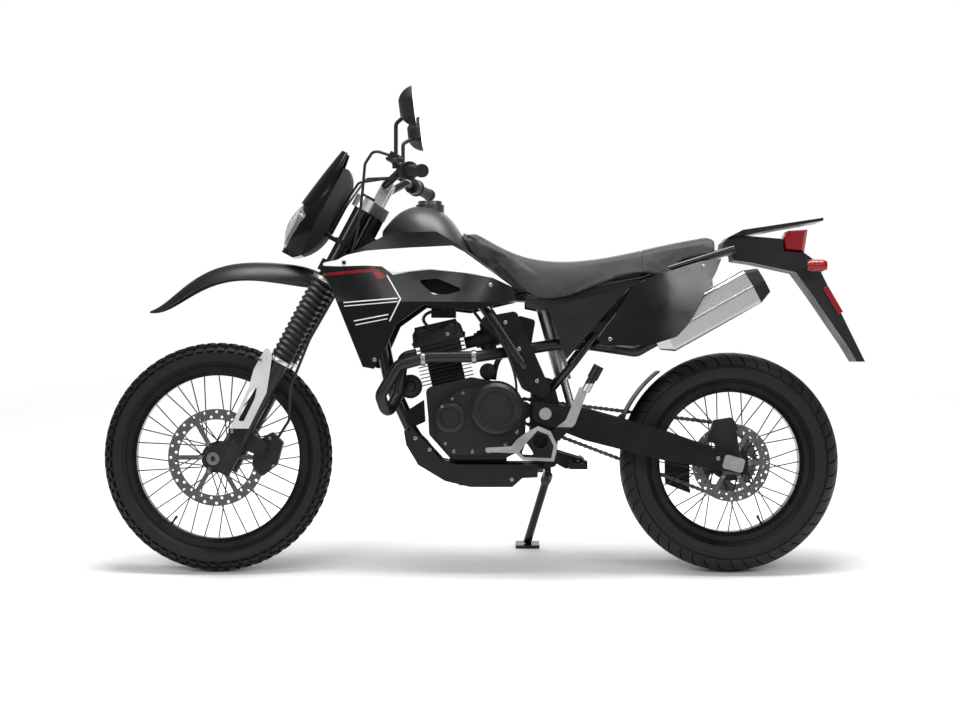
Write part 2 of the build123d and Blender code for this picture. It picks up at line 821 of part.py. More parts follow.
# Front brake hose, clipped behind the near leg, and the bars' two cables, which end behind the lamp cowl:
# places as (back, side, height) in the steering frame
hose_radius = 4
hose_bend = 22
hose_places = [
    (-28.9, -221, 970),
    (-72, -226, 962),
    (-80, -180, 920),
    (-52, -150, 850),
    (-14, -142, 750),
    (14, -136, 640),
    (14, -130, 560),
    (10, -128, 420),
    (24, -112, 280),
    (62, -64, 190),
    (57, -56, 134.8),
]
cable_radius = 3.5
cable_bend = 30
cable_gap = 1.2
cable_back = cowl_back + cable_radius + cable_gap
clutch_cable = [(-0.8, 247.3, 953), (-20, 200, 948), (-84, 110, 900), (cable_back, 40, 800), (cable_back, 40, 710)]
throttle_cable = [(32.7, -245.4, 936), (26, -215, 934), (-78, -100, 870), (cable_back, -40, 800), (cable_back, -40, 710)]
with BuildPart() as brake_hose:
    tube([steered(*place) for place in hose_places], hose_radius, hose_bend)
    for cable in (clutch_cable, throttle_cable):
        tube([steered(*place) for place in cable], cable_radius, cable_bend)
write(brake_hose, "brake_hose")

# Main frame: head tube, spine, down tube, cradle, side spars and pivot plates
head_low = lower_clamp_base + clamp_depth + 1
head_high = upper_clamp_base - 1
down_tube_radius = 20
cradle_radius = 14
spar_radius = 15
cradle_near = 58
plate_inner = 48
plate_outer = 64
spine_top = steered(0, 0, head_high - 50)
spine_low = steered(0, 0, head_low + 34)
spine_outline = [
    (spine_top.X, spine_top.Z), (spine_low.X, spine_low.Z), (-250, 822), (20, 742), (60, 800), (-220, 890),
]
spar_near = 100
spar_places = [(-30, 20, 790), (12, spar_near, 738), (108, spar_near, 592), (160, plate_inner + 8, 500)]
spar_outline = [(-20, 716), (92, 736), (190, 512), (166, 492), (112, 516), (58, 636)]
spar_wall = 16
mount_outline = [(-222, 452), (-168, 486), (-164, 424), (-208, 404)]
mount_near = 14
pivot_plate_outline = [(138, 560), (196, 545), (216, 470), (206, 300), (150, 286), (132, 400)]
down_tube_places = [steered(0, 0, head_low + 95), Vector(-262, 0, 530), Vector(-206, 0, 408)]
rail_radius = 11
rail_bend = 40
rail_places = [(40, 20, 776), (130, rail_near, 776), (440, rail_near, 828), (704, rail_near, 911)]
strut_places = [(190, 56, 514), (250, rail_near, 586), (430, rail_near, 822)]
cross_tubes = [(165, 774, 12), (440, 828, 9), (690, 906, 9)]
cradle_z = 296
cradle_places = [(-214, 0, 424), (-184, 24, 376), (-112, cradle_near, cradle_z), (170, cradle_near, cradle_z)]

with BuildPart() as main_frame:
    with BuildSketch(steer.offset(head_low)):
        Circle(head_tube_radius)
    extrude(amount=head_high - head_low)
    plate(spine_outline, -spine_half_width, spine_half_width)
    tube(down_tube_places, down_tube_radius, 60)
    tube([(x, -near, z) for x, near, z in cradle_places], cradle_radius, 30)
    tube([(x, -near, z) for x, near, z in spar_places], spar_radius, 40)
    plate(spar_outline, spar_near - spar_wall / 2, spar_near + spar_wall / 2, corner=14)
    plate(mount_outline, mount_near, mount_near + 6)
    plate(pivot_plate_outline, plate_inner, plate_outer, corner=12)
    tube([(x, -near, z) for x, near, z in rail_places], rail_radius, rail_bend)
    tube([(x, -near, z) for x, near, z in strut_places], rail_radius, rail_bend)
    mirror(about=Plane.XZ)
    for x, z, radius in cross_tubes:
        boss(x, z, -rail_near, rail_near, radius)
    with BuildSketch(steer.offset(head_low)):
        Circle(stem_radius + running_gap)
    extrude(amount=head_high - head_low, mode=Mode.SUBTRACT)
    boss(pivot_x, pivot_z, -plate_outer, plate_outer, 12 + running_gap, mode=Mode.SUBTRACT)
write(main_frame, "main_frame")

# Swingarm: two tapered arms on a pivot tube, with a brace ahead of the tyre
Section = namedtuple("Section", "x z half_height")
arm_rise = (rear.tyre_radius - pivot_z) / (rear.axle_x - pivot_x)
arm_sections = [
    Section(pivot_x - 34, pivot_z - 34 * arm_rise, 26),
    Section(pivot_x + 110, pivot_z + 110 * arm_rise, 45),
    Section(rear.axle_x - 190, rear.tyre_radius - 190 * arm_rise, 42),
    Section(rear.axle_x + 40, rear.tyre_radius + 40 * arm_rise, 21),
]
arm_outline = [(s.x, s.z + s.half_height) for s in arm_sections]
arm_outline += [(s.x, s.z - s.half_height) for s in reversed(arm_sections)]
Brace = namedtuple("Brace", "x radius")
tyre_gap = 16
main_brace_radius = 20
tyre_face_x = rear.axle_x - rear.tyre_radius
arm_braces = [Brace(pivot_x + 89, 16), Brace(tyre_face_x - tyre_gap - main_brace_radius, main_brace_radius)]
guide_x = rear.axle_x - 138
guide_half = 36
guide_depth = 12
guide_wall = 5
guide_gap = 4
sprocket_step = Vector(rear.axle_x - front_sprocket_x, 0, rear.tyre_radius - front_sprocket_z)
sprocket_spread = asin((rear_sprocket_radius - front_sprocket_radius) / sprocket_step.length)
run_slope = tan(atan2(sprocket_step.Z, sprocket_step.X) - sprocket_spread)
run_drop = front_sprocket_radius * sqrt(1 + run_slope**2) + link_height / 2 + guide_gap
guide_floor = [
    (x, front_sprocket_z - run_drop + (x - front_sprocket_x) * run_slope) for x in (guide_x - guide_half, guide_x + guide_half)
]
guide_top = pivot_z + (guide_x - pivot_x) * arm_rise - 26
pivot_tube_radius = 20
pivot_bolt_radius = 12
with BuildPart() as swingarm:
    plate(arm_outline, arm_near, arm_near + arm_thickness)
    mirror(about=Plane.XZ)
    boss(pivot_x, pivot_z, plate_outer + seat_gap, arm_near, pivot_tube_radius)
    boss(pivot_x, pivot_z, -arm_near, -plate_outer - seat_gap, pivot_tube_radius)
    for brace in arm_braces:
        boss(brace.x, pivot_z + (brace.x - pivot_x) * arm_rise, -arm_near, arm_near, brace.radius)
    shoe = guide_floor + [(x, z - guide_depth) for x, z in reversed(guide_floor)]
    cheek = [(guide_x - guide_half, guide_top), (guide_x + guide_half, guide_top)] + shoe[2:]
    plate(cheek, -arm_near, -arm_near + guide_wall)
    plate(shoe, -arm_near, chain_near + chain_width / 2 + guide_wall)
    reach = arm_near + arm_thickness
    boss(pivot_x, pivot_z, -reach, reach, pivot_bolt_radius + running_gap, mode=Mode.SUBTRACT)
    boss(rear.axle_x, rear.tyre_radius, -reach, reach, rear.axle_radius + running_gap, mode=Mode.SUBTRACT)
write(swingarm, "swingarm")

shock_radius = 22
shock_top = Vector(165, 0, 774)
shock_foot = Vector(arm_braces[0].x, 0, pivot_z + (arm_braces[0].x - pivot_x) * arm_rise)
shock_run = (shock_foot - shock_top).normalized()

arm_reach = arm_near + arm_thickness
bolt_head = 8
bolt_head_radius = 17
with BuildPart() as pivot_bolt:
    bolt_reach = arm_reach + bolt_head
    boss(pivot_x, pivot_z, -bolt_reach, bolt_reach, pivot_bolt_radius)
    boss(pivot_x, pivot_z, arm_reach, bolt_reach, bolt_head_radius)
    boss(pivot_x, pivot_z, -bolt_reach, -arm_reach, bolt_head_radius)
write(pivot_bolt, "pivot_bolt")

block_size = (58, 40)
block_corner = 9
block_turn = -15
block_wall = 5
axle_nut = 14
axle_nut_radius = 15
with BuildPart() as rear_axle_shaft:
    nut_reach = arm_reach + axle_nut
    boss(rear.axle_x, rear.tyre_radius, -nut_reach, nut_reach, rear.axle_radius)
    for base in (arm_reach, -arm_reach - block_wall):
        with BuildSketch(on_side(base)) as block:
            with Locations(Location((rear.axle_x, rear.tyre_radius), block_turn)):
                RectangleRounded(*block_size, block_corner)
        extrude(block.sketch, amount=block_wall)
    boss(rear.axle_x, rear.tyre_radius, arm_reach, nut_reach, axle_nut_radius)
    boss(rear.axle_x, rear.tyre_radius, -nut_reach, -arm_reach, axle_nut_radius)
write(rear_axle_shaft, "rear_axle")

# Engine: crankcase with its covers, finned cylinder and head
tilt = radians(cylinder_tilt)
bore_up = Vector(-sin(tilt), 0, cos(tilt))
barrel = Plane(
    Vector(cylinder_base[0], 0, cylinder_base[1]), x_dir=(cos(tilt), 0, sin(tilt)), z_dir=bore_up
)
barrel_length = 104
fin_count = 7
fin_thickness = 3.5
fin_size = 132
barrel_size = 96
head_height = 92
port_deck = 36
base_lift = 24
case_deck = [barrel.from_local_coords(Vector(x, 0, base_lift)) for x in (-fin_size / 2, fin_size / 2)]
crankcase_outline = [(point.X, point.Z) for point in case_deck]
crankcase_outline += [(70, 532), (122, 474), (116, 350), (56, 320), (-90, 320), (-152, 390), (-154, 440)]
sump_outline = [(70, 330), (56, 272), (-66, 272), (-104, 330)]
sump_gap = 4
sump_half_width = cradle_near - cradle_radius - sump_gap
case_corner = 18
sump_corner = 10
with BuildPart() as crankcase:
    plate(crankcase_outline, -case_far, crankcase_half_width, corner=case_corner)
    plate(sump_outline, -sump_half_width, sump_half_width, corner=sump_corner)
write(crankcase, "crankcase")

# Covers on the crankcase's two faces, each with turned caps: place, radius, how far it stands out, dish radius
Cap = namedtuple("Cap", "place radius rise dish")
near_caps = [Cap((36, 464), 71, 54, 46), Cap((-92, 438), 42, 40, 26)]
far_caps = [Cap((-34, 430), 62, -60, 34)]
near_cover_outline = [
    (-124, 476), (-60, 518), (30, 530), (100, 500), (106, 390), (30, 334), (-92, 334), (-132, 390),
]
far_cover_outline = [(-118, 470), (-50, 514), (40, 512), (66, 400), (10, 345), (-90, 345), (-124, 400)]
cover_depth = 26
cover_corner = 20
lip_width = 6
lip_share = 0.4
shoulder_share = 0.86
cap_bevel = 9
dish_depth = 4
dish_bevel = 2


def cap_profile(base, cap):
    """A turned cap: an outer lip, a bevelled face and a shallow dish in its middle."""
    floor = base + cap.rise - (dish_depth if cap.rise > 0 else -dish_depth)
    return [
        (base, 0),
        (base, cap.radius + lip_width),
        (base + cap.rise * lip_share, cap.radius + lip_width),
        (base + cap.rise * lip_share, cap.radius),
        (base + cap.rise * shoulder_share, cap.radius),
        (base + cap.rise, cap.radius - cap_bevel),
        (base + cap.rise, cap.dish + dish_bevel),
        (floor, cap.dish),
        (floor, 0),
    ]


with BuildPart() as engine_covers:
    plate(near_cover_outline, crankcase_half_width, crankcase_half_width + cover_depth, corner=cover_corner)
    for cap in near_caps:
        turned(*cap.place, cap_profile(crankcase_half_width, cap))
    plate(far_cover_outline, -case_far - cover_depth, -case_far, corner=cover_corner)
    for cap in far_caps:
        turned(*cap.place, cap_profile(-case_far, cap))
write(engine_covers, "engine_covers")

barrel_corner = 14
fin_corner = 18
fin_start = base_lift + 6
fin_step = (barrel_length - base_lift - 8) / fin_count
with BuildPart() as cylinder:
    with BuildSketch(barrel.offset(base_lift)):
        RectangleRounded(barrel_size, barrel_size, barrel_corner)
    extrude(amount=barrel_length - base_lift)
    for number in range(fin_count):
        with BuildSketch(barrel.offset(fin_start + number * fin_step)):
            RectangleRounded(fin_size, fin_size, fin_corner)
        extrude(amount=fin_thickness)
write(cylinder, "cylinder")

# Cylinder head: slabs up the bore as (start, depth, length along the bike, width across it), and the cam cap
Slab = namedtuple("Slab", "start depth length width")
port_slab = Slab(0, port_deck, barrel_size + 20, barrel_size + 16)
deck_slab = Slab(port_deck, 10, fin_size + 18, fin_size - 8)
head_slabs = [Slab(0, 4, fin_size + 6, fin_size), port_slab, deck_slab]
head_slabs += [Slab(port_deck * share / 3, fin_thickness, fin_size + 4, fin_size - 2) for share in (1, 2)]
crown = Slab(port_deck + 10, head_height - port_deck - 10, fin_size + 4, fin_size - 18)
crown_taper = 10
cam_place = barrel.from_local_coords(Vector(34, 0, barrel_length + port_deck + 26))
cam_profile = [(30, 0), (30, 22), (60, 22), (65, 15), (65, 0)]


def head_section(slab):
    with BuildSketch(barrel.offset(barrel_length + slab.start)) as section:
        RectangleRounded(slab.length, slab.width, barrel_corner)
    return section.sketch


with BuildPart() as cylinder_head:
    for slab in head_slabs:
        extrude(head_section(slab), amount=slab.depth)
    extrude(head_section(crown), amount=crown.depth, taper=crown_taper)
    turned(cam_place.X, cam_place.Z, cam_profile)
write(cylinder_head, "cylinder_head")

# Intake: a rubber boot, the carburettor with its float bowl and slide cap, and the air box
port_out = barrel.from_local_coords(Vector(head_slabs[0].length / 2 + seat_gap, 0, barrel_length + port_deck / 2))
intake_run = barrel.x_dir
Drum = namedtuple("Drum", "start stop radius")
intake_drums = [Drum(0, 40, 17), Drum(30, 40, 22), Drum(40, 96, 27), Drum(96, 156, 22)]
carb_middle = port_out + intake_run * 68
Limb = namedtuple("Limb", "run radius")
carb_limbs = [
    Limb(Vector(6, 0, -58), 21),
    Limb(Vector(-8, 0, 44), 18),
    Limb(Vector(0, -40, 0), 11),
]
air_box_outline = [(88, 646), (136, 640), (148, 712), (96, 726)]
air_box_half_width = 40
air_box_corner = 10
with BuildPart() as carburettor:
    for drum in intake_drums:
        rod(port_out + intake_run * drum.start, port_out + intake_run * drum.stop, drum.radius)
    for limb in carb_limbs:
        rod(carb_middle, carb_middle + limb.run, limb.radius)
    plate(air_box_outline, -air_box_half_width, air_box_half_width, corner=air_box_corner)
write(carburettor, "carburettor")

# Exhaust: the header loops out past the down tube, back over the engine and in to the silencer
silencer_front = Vector(478, -silencer_near, 652)
silencer_back = Vector(746, -silencer_near, 802)
silencer_run = (silencer_back - silencer_front).normalized()
port_near = 46
port_run = 40
header_bend = 22
silencer_lead = 60
port = barrel.from_local_coords(Vector(-head_slabs[0].length / 2, -port_near, barrel_length + port_deck / 2))
header_places = [
    port,
    port - barrel.x_dir * port_run,
    (-240, -62, 500),
    (-268, -112, 446),
    (-286, -138, 500),
    (-236, -144, 584),
    (-150, -142, 607),
    (-20, -132, 608),
    (74, -60, 622),
    (200, -58, 642),
    (300, -60, 642),
    silencer_front - silencer_run * silencer_lead,
    silencer_front,
]
with BuildPart() as exhaust_header:
    tube(header_places, exhaust_radius, header_bend)
write(exhaust_header, "exhaust_header")

silencer_height = 52
silencer_width = 45
silencer_flat = 30
silencer_corner = 16
silencer_nose = 34
nose_share = 0.55
cap_length = 38
cap_share = 0.72
outlet_floor = 8
hanger_tab = [(606, 770), (644, 784), (634, 878), (612, 874)]
hanger_tab_wall = 6
outlet_radius = 18
hanger = rail_near + rail_radius + seat_gap


def silencer_section(place, share):
    """A six-sided section with soft corners."""
    half, high, flat = silencer_width * share, silencer_height * share, silencer_flat * share
    with BuildSketch(Plane(place, x_dir=(0, 1, 0), z_dir=silencer_run)) as section:
        with BuildLine():
            corners = [(half, 0), (flat, high), (-flat, high), (-half, 0), (-flat, -high), (flat, -high)]
            FilletPolyline(*corners, radius=silencer_corner * share, close=True)
        make_face()
    return section.sketch


with BuildPart() as silencer:
    body_front = silencer_front + silencer_run * silencer_nose
    loft([silencer_section(silencer_front, nose_share), silencer_section(body_front, 1)], ruled=True)
    extrude(silencer_section(body_front, 1), amount=(silencer_back - body_front).length)
    plate(hanger_tab, hanger, hanger + hanger_tab_wall)
write(silencer, "silencer")

with BuildPart() as silencer_cap:
    cap_back = silencer_back + silencer_run * cap_length
    loft([silencer_section(silencer_back, 1), silencer_section(cap_back, cap_share)], ruled=True)
    rod(silencer_back + silencer_run * outlet_floor, cap_back, outlet_radius, mode=Mode.SUBTRACT)
write(silencer_cap, "silencer_cap")

# Fuel tank: domed sections along the bike, tunnelled for the spine
Dome = namedtuple("Dome", "x base_z waist_z top_z half_base half_waist")
tank_domes = [
    Dome(-285, 905, 930, 966, 26, 34),
    Dome(-235, 862, 925, 1018, 50, 62),
    Dome(-150, 830, 920, 1034, 96, 126),
    Dome(-84, 828, 900, 990, 92, 120),
    Dome(-40, 828, 870, 915, 84, 104),
    Dome(30, 828, 838, 856, 60, 80),
]
# Where the shrouds bolt to the tank, as (x, z, how far out the pad stands)
shroud_pads = [(-150, 905, 131), (-52, 862, 118)]
pad_radius = 14
pad_root = 60
cap_x = -151
cap_seat_z = 1039
cap_seat_depth = 40
cap_seat_radius = 40
tank_cap_radius = 34
tank_cap_rise = 11


def dome_section(dome):
    with BuildSketch(Plane((dome.x, 0, 0), x_dir=(0, 1, 0), z_dir=(1, 0, 0))) as section:
        with BuildLine():
            sides = Polyline(
                (dome.half_waist, dome.waist_z),
                (dome.half_base, dome.base_z),
                (-dome.half_base, dome.base_z),
                (-dome.half_waist, dome.waist_z),
            )
            ThreePointArc(sides @ 1, (0, dome.top_z), sides @ 0)
        make_face()
    return section.sketch


with BuildPart() as fuel_tank:
    loft([dome_section(dome) for dome in tank_domes])
    with BuildSketch(on_side(-spine_half_width - body_gap)):
        with BuildLine():
            Polyline(*spine_outline, close=True)
        make_face()
        offset(amount=body_gap, kind=Kind.INTERSECTION)
    extrude(amount=2 * (spine_half_width + body_gap), mode=Mode.SUBTRACT)
    for x, z, reach in shroud_pads:
        boss(x, z, pad_root, reach, pad_radius)
        boss(x, z, -reach, -pad_root, pad_radius)
    rod((cap_x, 0, cap_seat_z - cap_seat_depth), (cap_x, 0, cap_seat_z), cap_seat_radius)
write(fuel_tank, "fuel_tank")

with BuildPart() as tank_cap:
    rod((cap_x, 0, cap_seat_z), (cap_x, 0, cap_seat_z + tank_cap_rise), tank_cap_radius)
write(tank_cap, "tank_cap")

# Seat: rounded sections along the bike, stepped up for the passenger
Pad = namedtuple("Pad", "x base_z top_z half_base half_top")
seat_pads = [
    Pad(-58, 952, 971, 44, 36),
    Pad(40, 872, 922, 86, 66),
    Pad(160, 764, 880, 118, 92),
    Pad(300, 796, 880, 128, 104),
    Pad(460, 838, 910, 124, 100),
    Pad(655, 902, 948, 90, 72),
]
seat_crown = 10
with BuildPart() as seat:
    for pad in seat_pads:
        with BuildSketch(Plane((pad.x, 0, 0), x_dir=(0, 1, 0), z_dir=(1, 0, 0))):
            with BuildLine():
                base = Polyline(
                    (pad.half_top, pad.top_z - seat_crown),
                    (pad.half_base, pad.base_z),
                    (-pad.half_base, pad.base_z),
                    (-pad.half_top, pad.top_z - seat_crown),
                )
                ThreePointArc(base @ 1, (0, pad.top_z), base @ 0)
            make_face()
    loft()
    for side in (-1, 1):
        rail = [(x, side * near, z) for x, near, z in rail_places]
        tube(rail, rail_radius + seat_gap, rail_bend, mode=Mode.SUBTRACT)
    for x, z, radius in cross_tubes:
        boss(x, z, -rail_near, rail_near, radius + seat_gap, mode=Mode.SUBTRACT)
    rod(shock_top, shock_foot, shock_radius + body_gap, mode=Mode.SUBTRACT)
write(seat, "seat")

# Body panels: bent sheets trimmed to their side-view outlines
panel_wall = 4
shroud_outline = [
    (-449, 853), (-258, 952), (-131, 956), (-56, 912), (77, 809), (93, 765), (-37, 735),
    (-164, 751), (-241, 696), (-269, 632), (-302, 574), (-333, 580), (-424, 806),
]
shroud_bands = [
    (560, [(-460, 150), (-200, 176), (110, 132)]),
    (760, [(-460, 156), (-200, 182), (110, 132)]),
    (970, [(-460, 150), (-200, 138), (110, 120)]),
]
vent_outline = [(-182, 820), (-126, 824), (-52, 793), (-98, 780), (-138, 780)]
band_outline = [(-444, 868), (-313, 893), (-196, 893), (-60, 907), (74, 806), (-20, 838), (-152, 852), (-240, 841), (-290, 854),
                (-440, 846)]
band_rise = 4
shroud_sheet = curved_panel(shroud_outline, shroud_bands, panel_wall)
band_sheet = curved_panel(
    band_outline, [(z, [(x, near + band_rise) for x, near in arc]) for z, arc in shroud_bands], panel_wall + band_rise / 2
)
with BuildPart() as shrouds:
    add(shroud_sheet)
    add(band_sheet)
    plate(vent_outline, spar_near, spar_near + 100, corner=6, mode=Mode.SUBTRACT)
    for (x, z, reach), wall in zip(shroud_pads, (148, 152)):
        boss(x, z, reach + seat_gap, wall, pad_radius - 3)
    mirror(about=Plane.XZ)
write(shrouds, "shrouds")

side_panel_outline = [(180, 746), (406, 802), (232, 600)]
side_panel_bands = [
    (580, [(160, 112), (300, 118), (420, 120)]),
    (840, [(160, 122), (300, 128), (420, 124)]),
]
side_sheet = curved_panel(side_panel_outline, side_panel_bands, panel_wall)
with BuildPart() as side_panels:
    add(side_sheet)
    strut_face = rail_near + rail_radius + seat_gap
    plate([(286, 672), (334, 682), (346, 706), (296, 700)], strut_face, strut_face + 5)
    boss(298, 688, strut_face, 120.5, 8)
    mirror(about=Plane.XZ)
write(side_panels, "side_panels")

tail_panel_outline = [
    (320, 648), (412, 800), (473, 832), (601, 872), (660, 880), (645, 843), (565, 696), (534, 663), (462, 640), (335, 638),
]
tail_panel_bands = [
    (620, [(310, 150), (480, 180), (680, 184)]),
    (900, [(310, 124), (480, 150), (680, 150)]),
]
tail_sheet = curved_panel(tail_panel_outline, tail_panel_bands, panel_wall)
with BuildPart() as tail_panels:
    add(tail_sheet)
    tab_near = rail_near + rail_radius + seat_gap
    plate([(390, 768), (440, 768), (440, 798), (412, 798)], tab_near, tab_near + 5)
    boss(428, 784, tab_near, 155, 8)
    mirror(about=Plane.XZ)
write(tail_panels, "tail_panels")

def shrunk(outline, middle, share):
    """A side-view outline drawn in towards a middle."""
    return [(middle[0] + (x - middle[0]) * share, middle[1] + (z - middle[1]) * share) for x, z in outline]


# Tail: slotted rack, lamp, plate carrier with its indicators
rack_outline = [(690, 944.3), (728, 964), (954, 998), (954, 990), (842, 970), (736, 949.3)]
rack_half_width = 84
rack_slots = [(-46, 24), (0, 30), (46, 24)]
rack_slot_middle = 850
rack_slot_length = 130
with BuildPart() as tail_rack:
    plate(rack_outline, -rack_half_width, rack_half_width)
    for near, width in rack_slots:
        with BuildSketch(Plane.XY.offset(900)) as slot:
            with Locations((rack_slot_middle, -near)):
                SlotOverall(rack_slot_length, width)
        extrude(slot.sketch, amount=150, mode=Mode.SUBTRACT)
write(tail_rack, "tail_rack")

tail_lamp_outline = [(846.4, 905.5), (842.6, 938), (862, 964), (916, 967), (906, 900.7)]
tail_lamp_middle = (874, 932)
tail_lamp_ends = [(-60, 0.74), (-44, 1), (44, 1), (60, 0.74)]
with BuildPart() as tail_lamp:
    for near, share in tail_lamp_ends:
        with BuildSketch(on_side(near)):
            with BuildLine():
                Polyline(*shrunk(tail_lamp_outline, tail_lamp_middle, share), close=True)
            make_face()
    loft(ruled=True)
write(tail_lamp, "tail_lamp")

carrier_outline = [
    (672, 896.6), (676, 930), (690, 944), (736, 949), (842, 940), (846, 905), (905, 900), (938, 876), (958, 832),
    (1075, 594), (1052, 594), (1024, 640), (924, 786), (880, 846), (760, 872), (706, 880), (704, 896.6),
]
carrier_half_width = 62
carrier_hollow = [(720, 884), (720, 936), (834, 928), (838, 896), (898, 890), (926, 868), (944, 826), (1040, 630),
                  (936, 790), (890, 854), (764, 880)]
carrier_wall = 5
with BuildPart() as plate_carrier:
    plate(carrier_outline, -carrier_half_width, carrier_half_width)
    for near in (-carrier_half_width + carrier_wall, 4):
        plate(carrier_hollow, near, near + carrier_half_width - carrier_wall - 4, mode=Mode.SUBTRACT)
    for x, z, radius in cross_tubes:
        boss(x, z, -rail_near, rail_near, radius + seat_gap, mode=Mode.SUBTRACT)
write(plate_carrier, "plate_carrier")

indicator_x = 922
indicator_z = 862
indicator_near = 128
indicator_profile = [(-20, 0), (-20, 12), (-6, 17), (22, 17), (34, 12), (34, 0)]
with BuildPart() as rear_indicators:
    rod((indicator_x, -carrier_half_width - seat_gap, indicator_z), (indicator_x, -indicator_near, indicator_z), 7)
    with BuildSketch(on_side(indicator_near)) as section:
        with BuildLine():
            Polyline(*[(indicator_x + x, indicator_z + radius) for x, radius in indicator_profile], close=True)
        make_face()
    revolve(section.sketch, axis=Axis((indicator_x, -indicator_near, indicator_z), (1, 0, 0)))
    mirror(about=Plane.XZ)
write(rear_indicators, "rear_indicators")

# Skid plate: a folded tray under the engine, on posts from the cradle
skid_wall = 4
skid_half_width = 92
skid_outline = [
    (-222, 400), (-216, 362), (-182, 305), (-107, 260), (-36, 243), (82, 243), (110, 268), (153, 270),
    (153, 306), (-70, 306), (-118, 318), (-163, 372), (-196, 402),
]
skid_posts = (-60, 60)
skid_post_radius = 9
with BuildPart() as skid_plate:
    plate(skid_outline, -skid_half_width, skid_half_width)
    inside = [(x + skid_wall / 2, z + skid_wall) for x, z in skid_outline]
    plate(inside, skid_wall - skid_half_width, skid_half_width - skid_wall, mode=Mode.SUBTRACT)
    for x in skid_posts:
        for side in (-1, 1):
            rod((x, side * cradle_near, 246), (x, side * cradle_near, cradle_z - cradle_radius), skid_post_radius)
write(skid_plate, "skid_plate")

# Rear shock absorber between the spine and the link
shock_start = 12
shock_rod_radius = 12
shock_rod_length = 120
shock_rod_lap = 10
with BuildPart() as shock:
    collar = shock_foot - shock_run * shock_rod_length
    rod(shock_top + shock_run * shock_start, collar, shock_radius)
    rod(collar - shock_run * shock_rod_lap, shock_foot - shock_run * arm_braces[0].radius, shock_rod_radius)
write(shock, "shock")

# Footpegs, pedals and the side stand
peg_x = 262
peg_z = 306
peg_length = 50
peg_reach = 112
peg_depth = 16
peg_bar = 7
tooth = 6
tooth_rows = 8
hanger_outline = [(160, 344), (206, 344), (290, 318), (290, 294), (230, 294), (196, 312.5), (160, 312.5)]
hanger_wall = 14
peg_root = plate_outer + hanger_wall
peg_middle = peg_root + peg_reach / 2
with BuildPart() as footpegs:
    plate(hanger_outline, plate_outer, peg_root)
    with Locations((peg_x, -peg_middle, peg_z)):
        Box(peg_length, peg_reach, peg_depth)
    slot = (peg_length - 3 * peg_bar) / 2
    with Locations((peg_x, -peg_middle, peg_z)):
        with GridLocations(slot + peg_bar, 0, 2, 1):
            Box(slot, peg_reach - 3 * peg_bar, 2 * peg_depth, mode=Mode.SUBTRACT)
    with Locations((peg_x, -peg_middle - peg_bar, peg_z + peg_depth / 2 + tooth / 2)):
        with GridLocations((peg_length - peg_bar) / 2, 2 * tooth, 3, tooth_rows):
            Box(peg_bar, tooth, tooth)
    mirror(about=Plane.XZ)
write(footpegs, "footpegs")

pedal_outline = [
    (6, 356), (78, 360), (94, 380), (122, 400), (152, 416), (186, 402), (206, 362), (196, 318), (110, 322),
    (88, 341), (6, 345),
]
pedal_near = 152
pedal_wall = 10
pedal_corner = 4
pedal_window = [(106, 338), (118, 372), (142, 336)]
pedal_eye = (158, 374)
pedal_eye_radius = 20
pedal_pin = (186, 334)
pedal_pin_radius = 10
pedal_tip = (14, 350.5)
pedal_tip_radius = 7
pedal_tip_length = 36
with BuildPart() as brake_pedal:
    pedal_face = pedal_near + pedal_wall
    plate(pedal_outline, pedal_near, pedal_face, corner=pedal_corner)
    plate(pedal_window, pedal_near, pedal_face, corner=pedal_corner, mode=Mode.SUBTRACT)
    boss(*pedal_eye, pedal_near, pedal_face, pedal_eye_radius, mode=Mode.SUBTRACT)
    boss(*pedal_tip, pedal_face, pedal_face + pedal_tip_length, pedal_tip_radius)
    boss(*pedal_pin, peg_root, pedal_near, pedal_pin_radius)
write(brake_pedal, "brake_pedal")

lever_pin = (70, 356)
lever_pin_radius = 8
lever_near = -132
lever_wall = 8
lever_outline = [(80, 366), (60, 372), (-70, 340), (-70, 328), (62, 344), (80, 350)]
toe_place = (-64, 334)
toe_radius = 9
toe_length = 36
with BuildPart() as gear_lever:
    lever_face = lever_near - lever_wall
    boss(*lever_pin, lever_near, -case_far, lever_pin_radius)
    plate(lever_outline, lever_face, lever_near)
    boss(*toe_place, lever_face - toe_length, lever_face, toe_radius)
write(gear_lever, "gear_lever")

# Heel guard with raised ribs on a post, and the rear brake's master cylinder on its upper end
heel_near = 122
heel_wall = 4
heel_outline = [(186, 374), (212, 374), (256, 421), (294, 521), (268, 524), (230, 432), (186, 398)]
heel_ribs = [(250, 440), (258, 462), (266, 484), (274, 506)]
heel_rib_size = (20, 2, 5)
heel_rib_turn = 20
heel_post = (197, 386)
heel_post_radius = 8
master_near = heel_near + 6
master_foot = Vector(284, -master_near, 512)
master_top = Vector(322, -master_near, 582)
master_radius = 12
master_cap_radius = 15
with BuildPart() as heel_guard:
    plate(heel_outline, heel_near, heel_near + heel_wall)
    for x, z in heel_ribs:
        with Locations(Location((x, -heel_near - heel_wall - heel_rib_size[1] / 2, z), (0, heel_rib_turn, 0))):
            Box(*heel_rib_size)
    boss(*heel_post, plate_outer, heel_near, heel_post_radius)
    rod(master_foot, master_top, master_radius)
    rod((master_foot + master_top) / 2, master_top, master_cap_radius)
write(heel_guard, "heel_guard")

# Rear brake caliper on its carrier plate, and the hugger ahead of the tyre, both placed from the rear axle
rear_disc_mid = rear_disc_sizes.near - rear_disc_sizes.thickness / 2
carrier_near = rear_disc_sizes.near + disc_gap
rear_caliper_inner = 12
bracket_wall = 9
rear_caliper_outline = [(-68, 62), (-50, 120), (2, 128), (20, 96), (2, 78), (-38, 50)]
rear_bracket_outline = [(-8, -20), (26, 0), (14, 90), (-58, 74), (-34, 20)]


def from_rear_axle(outline):
    return [(rear.axle_x + x, rear.tyre_radius + z) for x, z in outline]


